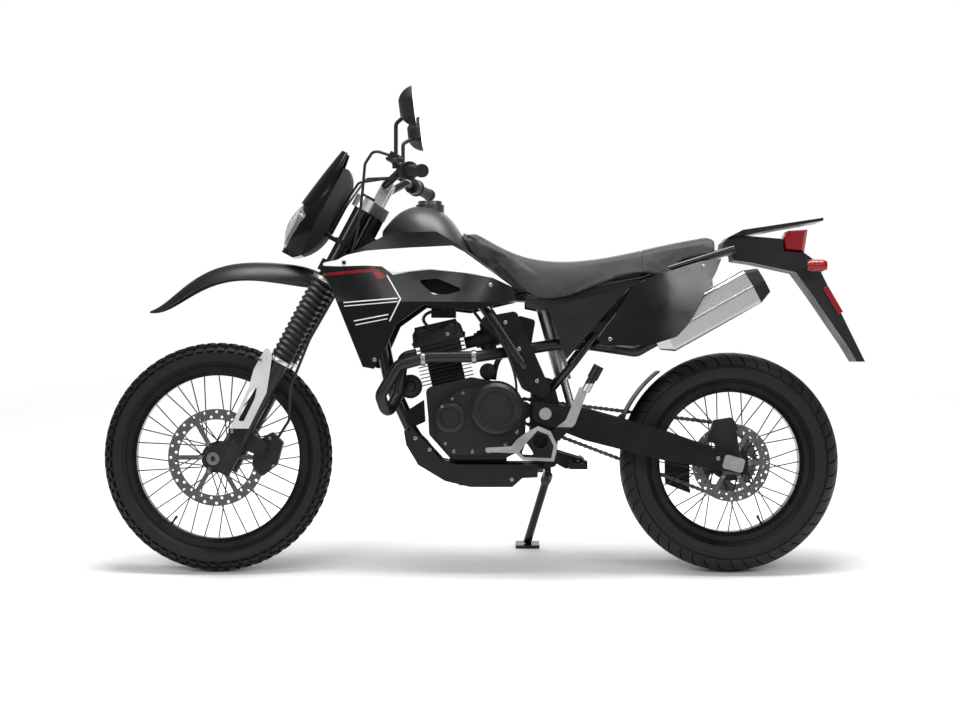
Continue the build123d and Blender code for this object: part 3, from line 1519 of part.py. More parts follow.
with BuildPart() as rear_caliper:
    plate(
        from_rear_axle(rear_caliper_outline),
        rear_disc_mid - rear_caliper_inner,
        carrier_near + bracket_wall,
        corner=8,
    )
    boss(
        rear.axle_x,
        rear.tyre_radius,
        rear_disc_sizes.near - rear_disc_sizes.thickness - disc_gap,
        carrier_near,
        rear_disc_sizes.radius + disc_gap,
        mode=Mode.SUBTRACT,
    )
    plate(from_rear_axle(rear_bracket_outline), carrier_near, carrier_near + bracket_wall, corner=8)
    boss(rear.axle_x, rear.tyre_radius, carrier_near, arm_near, 20)
    boss(rear.axle_x, rear.tyre_radius, carrier_near, arm_near, rear.axle_radius + running_gap, mode=Mode.SUBTRACT)
write(rear_caliper, "rear_caliper")

hugger_gap = 14
hugger_radius = rear.tyre_radius + hugger_gap
hugger_half_width = 64
hugger_wall = 4
hugger_start = 128
hugger_arc = 36
stay_angle = 0.7
stay_length = 62
stay_near = 40
stay_radius = 6
hugger_edge = Plane(rear_axle, x_dir=(0, 1, 0), z_dir=(sin(radians(hugger_start)), 0, -cos(radians(hugger_start))))
with BuildPart() as rear_hugger:
    with BuildSketch(hugger_edge) as section:
        with Locations((0, hugger_radius + hugger_wall / 2)):
            Rectangle(2 * hugger_half_width, hugger_wall)
    revolve(section.sketch, axis=Axis(rear_axle, (0, -1, 0)), revolution_arc=hugger_arc)
    brace = arm_braces[1]
    brace_z = pivot_z + (brace.x - pivot_x) * arm_rise
    stay_foot = brace.radius + seat_gap
    stay_run = Vector(cos(stay_angle), 0, sin(stay_angle))
    for near in (-stay_near, stay_near):
        foot = Vector(brace.x, -near, brace_z)
        rod(foot + stay_run * stay_foot, foot + stay_run * stay_length, stay_radius)
write(rear_hugger, "rear_hugger")

# Side stand, on the far side, turned about a slanted pin so that it folds back beside the wheel
stand_pivot = Vector(185, 112, 258)
stand_axis = Vector(0.18, 1, 0.30).normalized()
stand_eye = 12
stand_foot_x = 132
stand_foot_y = 262
stand_radius = 12
stand_eye_radius = 16
foot_size = (70, 52, 10)
leg_lift = 14
foot_lift = stand_foot_y * tan(lean) - floor_lift / cos(lean)
with BuildPart() as side_stand:
    foot_top = Vector(stand_foot_x, stand_foot_y, foot_lift + leg_lift)
    rod(stand_pivot, foot_top, stand_radius)
    rod(stand_pivot - stand_axis * stand_eye, stand_pivot + stand_axis * stand_eye, stand_eye_radius)
    with Locations(Location((stand_foot_x, stand_foot_y, foot_lift), (lean_angle, 0, 0))):
        Box(*foot_size, align=(Align.CENTER, Align.CENTER, Align.MIN))
write(side_stand, "side_stand")

bracket_eye_depth = 16
bracket_eye_radius = 15
bracket_root = Vector(186, plate_outer + 6, 284)
bracket_lap = 12
bracket_rod_radius = 9
bracket_outline = [(174, 311), (194, 311), (196, 264), (178, 264)]
bracket_plate_wall = 14
with BuildPart() as stand_bracket:
    seat_point = stand_pivot - stand_axis * (stand_eye + seat_gap)
    rod(seat_point - stand_axis * bracket_eye_depth, seat_point, bracket_eye_radius)
    rod(bracket_root, seat_point - stand_axis * bracket_lap, bracket_rod_radius)
    plate(bracket_outline, -plate_outer - bracket_plate_wall, -plate_outer)
write(stand_bracket, "stand_bracket")
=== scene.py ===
import json
from math import asin, atan2, cos, pi, radians, sin

import bmesh
import bpy
from mathutils import Matrix, Vector


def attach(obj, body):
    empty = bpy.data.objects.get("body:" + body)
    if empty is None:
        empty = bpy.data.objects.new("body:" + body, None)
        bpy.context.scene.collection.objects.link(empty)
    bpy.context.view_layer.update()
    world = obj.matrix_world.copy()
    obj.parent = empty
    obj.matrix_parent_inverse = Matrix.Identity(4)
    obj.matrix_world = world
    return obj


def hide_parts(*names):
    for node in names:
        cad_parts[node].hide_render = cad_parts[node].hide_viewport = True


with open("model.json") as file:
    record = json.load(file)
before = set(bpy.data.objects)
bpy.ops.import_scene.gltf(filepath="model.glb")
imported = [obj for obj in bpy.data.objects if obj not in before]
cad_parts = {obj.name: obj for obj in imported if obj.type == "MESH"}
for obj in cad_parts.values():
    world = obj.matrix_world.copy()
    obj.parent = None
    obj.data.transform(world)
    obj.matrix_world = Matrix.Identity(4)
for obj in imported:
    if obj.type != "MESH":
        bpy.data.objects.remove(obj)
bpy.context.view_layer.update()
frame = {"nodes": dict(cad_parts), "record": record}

# The bike is drawn upright and leaned over as one whole, as the solids are
LEAN = radians(10)
PARK = Matrix.Translation((0, -0.199, 0.001142)) @ Matrix.Rotation(-LEAN, 4, "X")
UPRIGHT_SHIFT = (0, 196.18, 33.43)

# Sides of the bike, and the axles' places on the side view in millimetres
NEAR, FAR = -1, 1
FRONT_AXLE = (-752, 324)
REAR_AXLE = (697.9, 310)

scene = bpy.context.scene
scene.view_settings.view_transform = "Standard"


# Node groups shared by the finishes

def new_group(name, inputs, outputs):
    """A shader node group with named sockets. Each input is (name, kind, value)."""
    group = bpy.data.node_groups.new(name, "ShaderNodeTree")
    for socket, kind, value in inputs:
        made = group.interface.new_socket(socket, in_out="INPUT", socket_type=f"NodeSocket{kind}")
        made.default_value = value
    for socket, kind in outputs:
        group.interface.new_socket(socket, in_out="OUTPUT", socket_type=f"NodeSocket{kind}")
    start = group.nodes.new("NodeGroupInput")
    end = group.nodes.new("NodeGroupOutput")
    return group, start, end


class Tree:
    """Adds nodes to a material or a group: each call makes one node, sets its values and links its inputs."""

    def __init__(self, tree):
        self.tree = tree

    def add(self, kind, links=None, values=None, **settings):
        node = self.tree.nodes.new(f"ShaderNode{kind}")
        for key, value in settings.items():
            setattr(node, key, value)
        for key, value in (values or {}).items():
            node.inputs[key].default_value = value
        for key, source in (links or {}).items():
            self.tree.links.new(source, node.inputs[key])
        return node

    def math(self, operation, first, second=None, third=None):
        node = self.add("Math", operation=operation)
        for slot, value in enumerate((first, second, third)):
            if value is None:
                continue
            if isinstance(value, (int, float)):
                node.inputs[slot].default_value = value
            else:
                self.tree.links.new(value, node.inputs[slot])
        return node.outputs[0]

    def mix(self, mask, first, second):
        node = self.add("Mix", data_type="RGBA")
        for slot, value in ((0, mask), (6, first), (7, second)):
            if isinstance(value, (int, float, tuple)):
                node.inputs[slot].default_value = value
            else:
                self.tree.links.new(value, node.inputs[slot])
        return node.outputs[2]

    def group(self, group, links=None, values=None):
        return self.add("Group", links, values, node_tree=group)

    def link(self, source, shader, socket):
        self.tree.links.new(source, shader.inputs[socket])


def make_upright():
    """Places on the bike as it stands upright, in millimetres, from its parked place."""
    outputs = [("Place", "Vector"), ("X", "Float"), ("Y", "Float"), ("Z", "Float")]
    group, _, end = new_group("upright_place", [], outputs)
    t = Tree(group)
    coord = t.add("TexCoord")
    turned = t.add("Mapping", {"Vector": coord.outputs["Object"]})
    turned.inputs["Location"].default_value = UPRIGHT_SHIFT
    turned.inputs["Rotation"].default_value = (LEAN, 0, 0)
    turned.inputs["Scale"].default_value = (1000, 1000, 1000)
    split = t.add("SeparateXYZ", {0: turned.outputs[0]})
    group.links.new(turned.outputs[0], end.inputs["Place"])
    for axis in "XYZ":
        group.links.new(split.outputs[axis], end.inputs[axis])
    return group


def make_grain():
    """Moulded or cast grain: fine bumps with slow patches of gloss, and its height."""
    group, start, end = new_group(
        "surface_grain",
        [("Size", "Float", 1.5), ("Patch", "Float", 60.0), ("Low", "Float", 0.4), ("High", "Float", 0.6)],
        [("Roughness", "Float"), ("Height", "Float"), ("Tone", "Float")],
    )
    t = Tree(group)
    coord = t.add("TexCoord")
    fine_scale = t.math("DIVIDE", 1000.0, start.outputs["Size"])
    slow_scale = t.math("DIVIDE", 1000.0, start.outputs["Patch"])
    place = coord.outputs["Object"]
    fine = t.add("TexNoise", {"Vector": place, "Scale": fine_scale}, {"Detail": 3.0, "Roughness": 0.6})
    slow = t.add("TexNoise", {"Vector": place, "Scale": slow_scale}, {"Detail": 4.0})
    rough = t.add(
        "MapRange",
        {"Value": slow.outputs["Fac"], "To Min": start.outputs["Low"], "To Max": start.outputs["High"]},
        {"From Min": 0.3, "From Max": 0.7},
    )
    group.links.new(rough.outputs[0], end.inputs["Roughness"])
    group.links.new(fine.outputs["Fac"], end.inputs["Height"])
    group.links.new(slow.outputs["Fac"], end.inputs["Tone"])
    return group


def make_brushed():
    """Fine brushing lines along one direction, turned by a rotation, with the gloss that follows them."""
    group, start, end = new_group(
        "brushed_lines",
        [("Turn", "Vector", (0, 0, 0)), ("Fineness", "Float", 900.0), ("Low", "Float", 0.2), ("High", "Float", 0.4)],
        [("Roughness", "Float"), ("Height", "Float")],
    )
    t = Tree(group)
    coord = t.add("TexCoord")
    turned = t.add("Mapping", {"Vector": coord.outputs["Object"], "Rotation": start.outputs["Turn"]})
    stretched = t.add("Mapping", {"Vector": turned.outputs[0]}, {"Scale": (0.02, 1, 1)})
    lines = t.add(
        "TexNoise",
        {"Vector": stretched.outputs[0], "Scale": start.outputs["Fineness"]},
        {"Detail": 2.0, "Roughness": 0.7},
    )
    rough = t.add(
        "MapRange",
        {"Value": lines.outputs["Fac"], "To Min": start.outputs["Low"], "To Max": start.outputs["High"]},
        {"From Min": 0.3, "From Max": 0.7},
    )
    group.links.new(rough.outputs[0], end.inputs["Roughness"])
    group.links.new(lines.outputs["Fac"], end.inputs["Height"])
    return group


def make_dust():
    """A thin film of dust that gathers low on the bike and in patches."""
    group, start, end = new_group(
        "road_dust", [("Level", "Float", 600.0), ("Amount", "Float", 0.3)], [("Mask", "Float")]
    )
    t = Tree(group)
    place = t.group(upright_place)
    low = t.add(
        "MapRange",
        {"Value": place.outputs["Z"], "From Max": start.outputs["Level"]},
        {"From Min": 0.0, "To Min": 1.0, "To Max": 0.0},
    )
    patch = t.add("TexNoise", {"Vector": place.outputs["Place"]}, {"Scale": 0.018, "Detail": 6.0})
    spots = t.add("MapRange", {"Value": patch.outputs["Fac"]}, {"From Min": 0.42, "From Max": 0.72})
    mask = t.math("MULTIPLY", low.outputs[0], spots.outputs[0])
    scaled = t.math("MULTIPLY", mask, start.outputs["Amount"])
    group.links.new(scaled, end.inputs["Mask"])
    return group


def make_edge_line():
    """1 on the far side of a straight line drawn on the side view, 0 before it."""
    group, start, end = new_group(
        "side_line",
        [("Place", "Vector", (0, 0, 0)), ("Across", "Vector", (0, 0, 1)), ("Start", "Float", 0.0)],
        [("Mask", "Float")],
    )
    t = Tree(group)
    reach = t.add("VectorMath", {0: start.outputs["Place"], 1: start.outputs["Across"]}, operation="DOT_PRODUCT")
    past = t.math("SUBTRACT", reach.outputs["Value"], start.outputs["Start"])
    edge = t.add("MapRange", {"Value": past}, {"From Min": -0.4, "From Max": 0.4})
    group.links.new(edge.outputs[0], end.inputs["Mask"])
    return group


upright_place = make_upright()
surface_grain = make_grain()
brushed_lines = make_brushed()
road_dust = make_dust()
side_line = make_edge_line()

DUST = (0.09, 0.082, 0.074, 1)


# Finishes

finishes = {}


def new_finish(name):
    """A named finish, with its nodes and its shader."""
    finish = finishes[name] = bpy.data.materials.new(name)
    finish.use_nodes = True
    return Tree(finish.node_tree), finish.node_tree.nodes["Principled BSDF"]


def shade(colour, share=1):
    """A colour made darker or paler, with its alpha."""
    return (*(min(1, channel * share) for channel in colour), 1)


def set_values(shader, values):
    """Sets constants on the shader's sockets."""
    for socket, value in values.items():
        shader.inputs[socket].default_value = value


def bump(tree, shader, height, depth, distance=0.001):
    """Feeds a height to the shader's normal."""
    node = tree.add("Bump", {"Height": height}, {"Strength": depth, "Distance": distance})
    tree.link(node.outputs[0], shader, "Normal")


def wedge(tree, place, corners):
    """A mask that is 1 inside a convex outline drawn on the side view, its corners in turn."""
    mask = None
    turn = 0
    for (x0, z0), (x1, z1), (x2, z2) in zip(corners, corners[1:] + corners[:1], corners[2:] + corners[:2]):
        turn += (x1 - x0) * (z2 - z1) - (z1 - z0) * (x2 - x1)
    facing = 1 if turn > 0 else -1
    for (x0, z0), (x1, z1) in zip(corners, corners[1:] + corners[:1]):
        run = Vector((x1 - x0, z1 - z0)).normalized()
        across = (-run.y * facing, 0, run.x * facing)
        line = tree.group(
            side_line, {"Place": place}, {"Across": across, "Start": across[0] * x0 + across[2] * z0}
        ).outputs["Mask"]
        mask = line if mask is None else tree.math("MINIMUM", mask, line)
    return mask


def moulded(name, colour, low, high, size=1.2, depth=0.15, coat=0.0, dust=0.05, metallic=0.0, shine=0.25):
    """Paint or plastic with fine grain, patches of gloss and a little dust."""
    tree, shader = new_finish(name)
    grain = tree.group(surface_grain, None, {"Size": size, "Patch": 70.0, "Low": low, "High": high})
    film = tree.group(road_dust, None, {"Level": 700.0, "Amount": dust})
    base = tree.mix(grain.outputs["Tone"], shade(colour), shade(colour, 1.8))
    dusty = tree.mix(film.outputs["Mask"], base, DUST)
    rough = tree.math("MULTIPLY_ADD", film.outputs["Mask"], 0.4, grain.outputs["Roughness"])
    tree.link(dusty, shader, "Base Color")
    tree.link(rough, shader, "Roughness")
    set_values(shader, {
        "Metallic": metallic,
        "Specular IOR Level": shine,
        "Coat Weight": coat,
        "Coat Roughness": 0.06,
    })
    bump(tree, shader, grain.outputs["Height"], depth, 0.0004)


def brushed(name, colour, turn, low=0.2, high=0.42, fineness=700.0):
    """Metal brushed along one direction."""
    tree, shader = new_finish(name)
    lines = tree.group(brushed_lines, None, {"Turn": turn, "Fineness": fineness, "Low": low, "High": high})
    film = tree.group(road_dust, None, {"Level": 900.0, "Amount": 0.06})
    base = tree.mix(lines.outputs["Height"], shade(colour, 0.86), shade(colour))
    dusty = tree.mix(film.outputs["Mask"], base, DUST)
    tree.link(dusty, shader, "Base Color")
    tree.link(lines.outputs["Roughness"], shader, "Roughness")
    set_values(shader, {"Metallic": 1.0})
    bump(tree, shader, lines.outputs["Height"], 0.012, 0.0001)


def two_tone(name, outside, inside, corners, metal_outside, metal_inside, low, high):
    """A finish that changes inside an outline drawn on the side view, such as paint on part of a casting."""
    tree, shader = new_finish(name)
    place = tree.group(upright_place)
    grain = tree.group(surface_grain, None, {"Size": 1.4, "Patch": 60.0, "Low": low, "High": high})
    mask = wedge(tree, place.outputs["Place"], corners)
    tones = []
    for colour in (outside, inside):
        tones.append(tree.mix(grain.outputs["Tone"], shade(colour, 0.8), shade(colour)))
    tree.link(tree.mix(mask, *tones), shader, "Base Color")
    metal = tree.math("MULTIPLY_ADD", mask, metal_inside - metal_outside, metal_outside)
    tree.link(metal, shader, "Metallic")
    tree.link(grain.outputs["Roughness"], shader, "Roughness")
    set_values(shader, {"Specular IOR Level": 0.3})
    bump(tree, shader, grain.outputs["Height"], 0.04, 0.0002)


def cowl_finish(name):
    """Gloss black in front, and moulded black round the back of the lamp."""
    tree, shader = new_finish(name)
    place = tree.group(upright_place)
    grain = tree.group(surface_grain, None, {"Size": 1.4, "Patch": 70.0, "Low": 0.14, "High": 0.22})
    front = [(-620, 860), (-478, 860), (-446, 960), (-402, 1116), (-360, 1200), (-620, 1200)]
    mask = wedge(tree, place.outputs["Place"], front)
    base = tree.mix(grain.outputs["Tone"], (0.0026, 0.0026, 0.0028, 1), (0.0042, 0.0042, 0.0045, 1))
    dull = tree.math("MULTIPLY_ADD", mask, -0.5, 0.5)
    rough = tree.math("ADD", grain.outputs["Roughness"], dull)
    tree.link(base, shader, "Base Color")
    tree.link(rough, shader, "Roughness")
    set_values(shader, {"Specular IOR Level": 0.2})
    bump(tree, shader, grain.outputs["Height"], 0.05, 0.0003)


def banded_rubber(name, colour, pitch):
    """Rubber with raised rings across the bike's width, with painted shade darkening the grooves between the rings."""
    tree, shader = new_finish(name)
    place = tree.group(upright_place)
    waves = {"Scale": pi / pitch / 10, "Distortion": 0.0}
    rings = tree.add("TexWave", {"Vector": place.outputs["Place"]}, waves, bands_direction="Y")
    grain = tree.group(surface_grain, None, {"Size": 1.0, "Patch": 40.0, "Low": 0.5, "High": 0.66})
    # Painted shade: the colour follows the rings' height, so the grooves are drawn at half the rubber's colour.
    base = tree.mix(rings.outputs["Fac"], shade(colour, 0.5), shade(colour))
    tree.link(base, shader, "Base Color")
    tree.link(grain.outputs["Roughness"], shader, "Roughness")
    set_values(shader, {"Specular IOR Level": 0.25})
    bump(tree, shader, rings.outputs["Fac"], 0.6, 0.0012)


def turned_steel(name, colour, axle_x, axle_z):
    """Ground steel with rings round an axle."""
    tree, shader = new_finish(name)
    place = tree.group(upright_place)
    about_axle = {"Location": (-axle_x, 0, -axle_z), "Scale": (1, 0, 1)}
    centred = tree.add("Mapping", {"Vector": place.outputs["Place"]}, about_axle)
    rings = tree.add(
        "TexWave",
        {"Vector": centred.outputs[0]},
        {"Scale": 0.35, "Distortion": 1.5, "Detail": 3.0, "Detail Scale": 0.4},
        wave_type="RINGS",
        rings_direction="SPHERICAL",
    )
    base = tree.mix(rings.outputs["Fac"], shade(colour, 0.72), shade(colour))
    rough = tree.add("MapRange", {"Value": rings.outputs["Fac"]}, {"To Min": 0.24, "To Max": 0.42})
    tree.link(base, shader, "Base Color")
    tree.link(rough.outputs[0], shader, "Roughness")
    set_values(shader, {"Metallic": 1.0})
    bump(tree, shader, rings.outputs["Fac"], 0.05, 0.0002)


def lens(name, colour, transmission, pitch, roughness=0.05):
    """Moulded lamp plastic with small prisms."""
    tree, shader = new_finish(name)
    place = tree.group(upright_place)
    waves = {"Scale": pitch, "Distortion": 0.2}
    prisms = tree.add("TexWave", {"Vector": place.outputs["Place"]}, waves, bands_direction="Y")
    tone = tree.mix(prisms.outputs["Fac"], shade(colour, 0.7), shade(colour))
    tree.link(tone, shader, "Base Color")
    set_values(shader, {"Roughness": roughness, "Transmission Weight": transmission, "IOR": 1.49})
    bump(tree, shader, prisms.outputs["Fac"], 0.2, 0.0005)


WHITE = (0.74, 0.74, 0.75, 1)
RED = (0.2, 0.006, 0.014, 1)


def striped_body(name, colour, white_shapes, red_shapes):
    """Gloss bodywork with white and red stripe films laid on its sides."""
    tree, shader = new_finish(name)
    place = tree.group(upright_place)
    grain = tree.group(surface_grain, None, {"Size": 2.5, "Patch": 90.0, "Low": 0.1, "High": 0.2})
    film = tree.group(road_dust, None, {"Level": 900.0, "Amount": 0.04})
    base = tree.mix(grain.outputs["Tone"], shade(colour), shade(colour, 1.6))
    for paint, shapes in ((WHITE, white_shapes), (RED, red_shapes)):
        for corners in shapes:
            base = tree.mix(wedge(tree, place.outputs["Place"], corners), base, paint)
    dusty = tree.mix(film.outputs["Mask"], base, DUST)
    tree.link(dusty, shader, "Base Color")
    tree.link(grain.outputs["Roughness"], shader, "Roughness")
    set_values(shader, {"Specular IOR Level": 0.35, "Coat Weight": 0.1, "Coat Roughness": 0.05})
    bump(tree, shader, grain.outputs["Height"], 0.03, 0.0003)


# Outlines on the side view, in millimetres: the white band, the thin stripes, the accent and the two-tone pieces
band_shapes = [
    [(-450, 860), (-427, 879), (-327, 901), (-327, 860), (-397, 858)],
    [(-328, 901), (-279, 905), (-279, 858), (-328, 860)],
    [(-280, 905), (-206, 910), (-206, 843), (-249, 834), (-280, 858)],
    [(-207, 910), (-145, 913), (-145, 849), (-207, 843)],
    [(-146, 913), (-85, 916), (-50, 897), (-50, 840), (-146, 849)],
    [(-51, 897), (28, 840), (28, 827), (-51, 840)],
    [(27, 841), (82, 801), (27, 827)],
    [(-386, 759), (-236, 771), (-236, 768), (-386, 756)],
    [(-384, 749), (-236, 761), (-236, 758.5), (-384, 746.5)],
    [(-357, 708), (-262, 726), (-262, 723), (-357, 705)],
    [(-353, 697), (-264, 714), (-264, 711.5), (-353, 694.5)],
    [(-268, 834), (-264.5, 834), (-226, 767), (-229.5, 767)],
    [(-226, 768), (-229.5, 768), (-260, 706), (-256.5, 706)],
]
accent_shapes = [
    [(-448, 838), (-314, 853), (-310, 843), (-446, 831)],
    [(-315, 853), (-302, 857), (-266, 828), (-290, 822)],
]

COATED = (0.006, 0.006, 0.0063)
ALLOY = (0.56, 0.56, 0.57)
heel_outline = [(180, 412), (340, 412), (340, 533), (180, 533)]
guard_outline = [(-760, 408), (-560, 408), (-560, 660), (-760, 660)]
pedal_web = [(150, 404), (180, 392), (195, 361), (188, 327), (114, 330), (99, 343), (113, 362)]

moulded("tyre_rubber", (0.005, 0.005, 0.0053), 0.46, 0.62, depth=0.25, shine=0.24, dust=0.03)
moulded("black_rim", (0.004, 0.004, 0.0042), 0.2, 0.32, size=2.0, depth=0.05, shine=0.35)
moulded("black_hub", (0.007, 0.007, 0.0074), 0.32, 0.46, size=1.6, depth=0.12, shine=0.3)
brushed("fork_silver", (0.6, 0.605, 0.615), (0, radians(62), 0), 0.24, 0.4)
moulded("gaiter_rubber", (0.006, 0.006, 0.0062), 0.42, 0.56, size=1.1, depth=0.15, shine=0.3)
moulded("gloss_black", (0.003, 0.003, 0.0033), 0.1, 0.2, size=2.5, depth=0.02, coat=0.1, shine=0.4)
moulded("matte_black", (0.0068, 0.0068, 0.0072), 0.42, 0.56, size=0.9, depth=0.25, shine=0.22)
moulded("frame_black", (0.0034, 0.0034, 0.0036), 0.18, 0.28, size=2.6, depth=0.02, shine=0.4, dust=0.01)
moulded("engine_dark", (0.0085, 0.0085, 0.009), 0.36, 0.5, size=1.6, depth=0.4, metallic=0.25, shine=0.35)
moulded("exhaust_black", (0.008, 0.008, 0.0085), 0.28, 0.42, size=1.4, depth=0.1, metallic=0.3, shine=0.4)
brushed("silencer_metal", (0.44, 0.44, 0.45), (0, radians(29), 0), 0.26, 0.34, 1800.0)
moulded("seat_cover", (0.021, 0.021, 0.022), 0.5, 0.62, size=1.0, depth=0.5, dust=0.02, shine=0.25)
brushed("silver_alloy", (0.52, 0.52, 0.53), (0, 0, 0), 0.26, 0.42)
brushed("chain_steel", (0.16, 0.155, 0.15), (0, 0, 0), 0.3, 0.5)
turned_steel("front_disc_steel", (0.2, 0.2, 0.205), -752, 324)
turned_steel("rear_disc_steel", (0.2, 0.2, 0.205), 698, 310)
lens("clear_lens", (0.9, 0.92, 0.93), 0.9, 0.05)
lens("red_lens", (0.25, 0.004, 0.01), 0.0, 0.06, 0.22)
brushed("lamp_chrome", (0.5, 0.5, 0.51), (0, 0, 0), 0.05, 0.1)
moulded("tank_satin", (0.014, 0.014, 0.0145), 0.4, 0.48, size=2.0, depth=0.03, shine=0.5)
cowl_finish("cowl_black")
brushed("bolt_steel", (0.3, 0.3, 0.31), (0, 0, 0), 0.26, 0.4)
brushed("cap_steel", (0.12, 0.12, 0.125), (0, 0, 0), 0.3, 0.42)
moulded("satin_black", (0.0036, 0.0036, 0.0038), 0.36, 0.44, size=1.6, depth=0.04, shine=0.32, dust=0.02)
two_tone("heel_plate", COATED, ALLOY, heel_outline, 0.0, 0.9, 0.3, 0.42)
two_tone("guard_silver", COATED, (0.7, 0.705, 0.715), guard_outline, 0.0, 0.35, 0.26, 0.38)
two_tone("pedal_alloy", ALLOY, COATED, pedal_web, 0.9, 0.0, 0.26, 0.4)
banded_rubber("grip_rubber", (0.0075, 0.0075, 0.0078), 5.0)
brushed("mirror_glass", (0.8, 0.82, 0.84), (0, 0, 0), 0.02, 0.05)
striped_body("shroud_stripes", (0.003, 0.003, 0.0033), band_shapes, accent_shapes)

node_finish = {row["node"]: row["material_slot"] for row in frame["record"]["subparts"]}
node_finish["front_disc"] = "front_disc_steel"
for node in ("rear_disc", "rear_sprocket", "front_sprocket"):
    node_finish[node] = "rear_disc_steel"
node_finish.update({
    "shrouds": "shroud_stripes",
    "fuel_tank": "tank_satin",
    "lamp_cowl": "cowl_black",
    "heel_guard": "heel_plate",
    "brake_pedal": "pedal_alloy",
    "front_mudguard": "satin_black",
    "fork_guards": "guard_silver",
    "grips": "grip_rubber",
    "tank_cap": "cap_steel",
    "front_axle": "bolt_steel",
})


def dress(obj, finish):
    obj.data.materials.clear()
    obj.data.materials.append(finishes[finish])


for node, obj in frame["nodes"].items():
    dress(obj, node_finish[node])


# Modelling helpers: each piece is drawn upright, in metres, and leaned with the bike when it is finished

def clear_selection():
    if bpy.context.mode != "OBJECT":
        bpy.ops.object.mode_set(mode="OBJECT")
    bpy.ops.object.select_all(action="DESELECT")


def only(obj):
    """Selects one object alone and makes it active."""
    clear_selection()
    obj.select_set(True)
    bpy.context.view_layer.objects.active = obj


def edit(obj):
    """Opens one object alone in edit mode."""
    only(obj)
    bpy.ops.object.mode_set(mode="EDIT")


def start_piece(name, primitive, **settings):
    """Adds a primitive at its size and place, and opens it in edit mode with everything selected."""
    clear_selection()
    primitive(**settings)
    obj = bpy.context.object
    obj.name = name
    apply_place()
    edit(obj)
    take_all()
    return obj


def take_all():
    bpy.ops.mesh.select_all(action="SELECT")


def pull(move):
    """Extrudes what is selected by a move."""
    bpy.ops.mesh.extrude_region_move(TRANSFORM_OT_translate={"value": move})


def apply_place():
    bpy.ops.object.transform_apply(location=True, rotation=True, scale=True)


def settle(obj, place):
    """Moves a piece to a place and applies the move to its mesh."""
    only(obj)
    obj.matrix_world = place
    apply_place()


def modify(obj, kind, **settings):
    """Adds a modifier to a piece, sets it and applies it."""
    only(obj)
    bpy.ops.object.modifier_add(type=kind)
    modifier = obj.modifiers[-1]
    for key, value in settings.items():
        setattr(modifier, key, value)
    bpy.ops.object.modifier_apply(modifier=modifier.name)


def lay(model, place):
    """A copy of a model, with its own mesh, at a place."""
    only(model)
    bpy.ops.object.duplicate()
    copy = bpy.context.object
    copy.matrix_world = place
    return copy


def join(pieces):
    """Joins pieces into the first of them."""
    clear_selection()
    for piece in pieces:
        piece.select_set(True)
    bpy.context.view_layer.objects.active = pieces[0]
    if len(pieces) > 1:
        bpy.ops.object.join()
    return pieces[0]


def discard(models):
    clear_selection()
    for model in models:
        model.select_set(True)
    bpy.ops.object.delete()


def pick(obj, kind, test):
    """Selects the faces or corners of the open mesh whose place and normal pass a test."""
    bpy.ops.mesh.select_mode(type=kind)
    bpy.ops.mesh.select_all(action="DESELECT")
    mesh = bmesh.from_edit_mesh(obj.data)
    for part in mesh.faces if kind == "FACE" else mesh.verts:
        if kind == "FACE":
            place, normal = part.calc_center_median(), part.normal
        else:
            place, normal = part.co, part.normal
        if test(place, normal):
            part.select_set(True)
    mesh.select_flush_mode()
    bmesh.update_edit_mesh(obj.data)


def draw_line(name, points, close=False):
    """A line of edges, drawn from its first point one extrusion at a time, left open in edit mode."""
    clear_selection()
    bpy.ops.mesh.primitive_plane_add(size=0.002)
    obj = bpy.context.object
    obj.name = name
    bpy.ops.object.mode_set(mode="EDIT")
    bpy.ops.mesh.select_mode(type="VERT")
    take_all()
    bpy.ops.mesh.merge(type="CENTER")
    bpy.ops.transform.translate(value=points[0])
    for start, stop in zip(points, points[1:]):
        pull(Vector(stop) - Vector(start))
    if close:
        ends = (Vector(points[0]), Vector(points[-1]))
        pick(obj, "VERT", lambda place, normal: min((place - end).length for end in ends) < 1e-6)
        bpy.ops.mesh.edge_face_add()
    take_all()
    return obj


def repeat_round(obj, axle, axis, factors):
    """Copies a piece round an axle until it fills the turn: the set so far is copied by each factor in turn."""
    count = 1
    for factor in factors:
        count *= factor
    done = 1
    for factor in factors:
        copies = []
        for number in range(1, factor):
            copies.append(lay(obj, obj.matrix_world))
            edit(copies[-1])
            take_all()
            angle = 2 * pi / count * done * number
            bpy.ops.transform.rotate(value=angle, orient_axis=axis, center_override=axle)
        join([obj] + copies)
        done *= factor


def finish_piece(obj, finish, body, smooth=30, lean=True):
    """Merges doubles, turns faces outwards, leans the piece with the bike and gives it its finish and body."""
    edit(obj)
    take_all()
    bpy.ops.mesh.remove_doubles(threshold=0.00002)
    bpy.ops.mesh.normals_make_consistent(inside=False)
    only(obj)
    bpy.ops.object.shade_smooth_by_angle(angle=radians(smooth))
    if lean:
        settle(obj, PARK @ obj.matrix_world)
    dress(obj, finish)
    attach(obj, body)


# Tyres: the section is drawn once, spun over one pitch of the tread, its blocks raised, and the pitch repeated

def tyre_section(seat_half, half, seat, flange, crown, arc, depth, edges):
    """Half the tyre's section as (lateral, radius), from the bead up the sidewall and over the tread's floor."""
    rise = [(seat_half, seat), (seat_half, flange), (seat_half + 4, flange + 4), (half - 8, flange + 12)]
    rise += [(half - 6.5, flange + 13), (half - 6, flange + 15), (half - 2.5, flange + 24), (half - 0.6, flange + 32)]
    rise += [(half, flange + 34), (half - 0.4, flange + 36)]
    middle = crown - arc
    for angle in edges:
        reach = arc - depth
        rise.append((reach * sin(radians(angle)), middle + reach * cos(radians(angle))))
    return rise


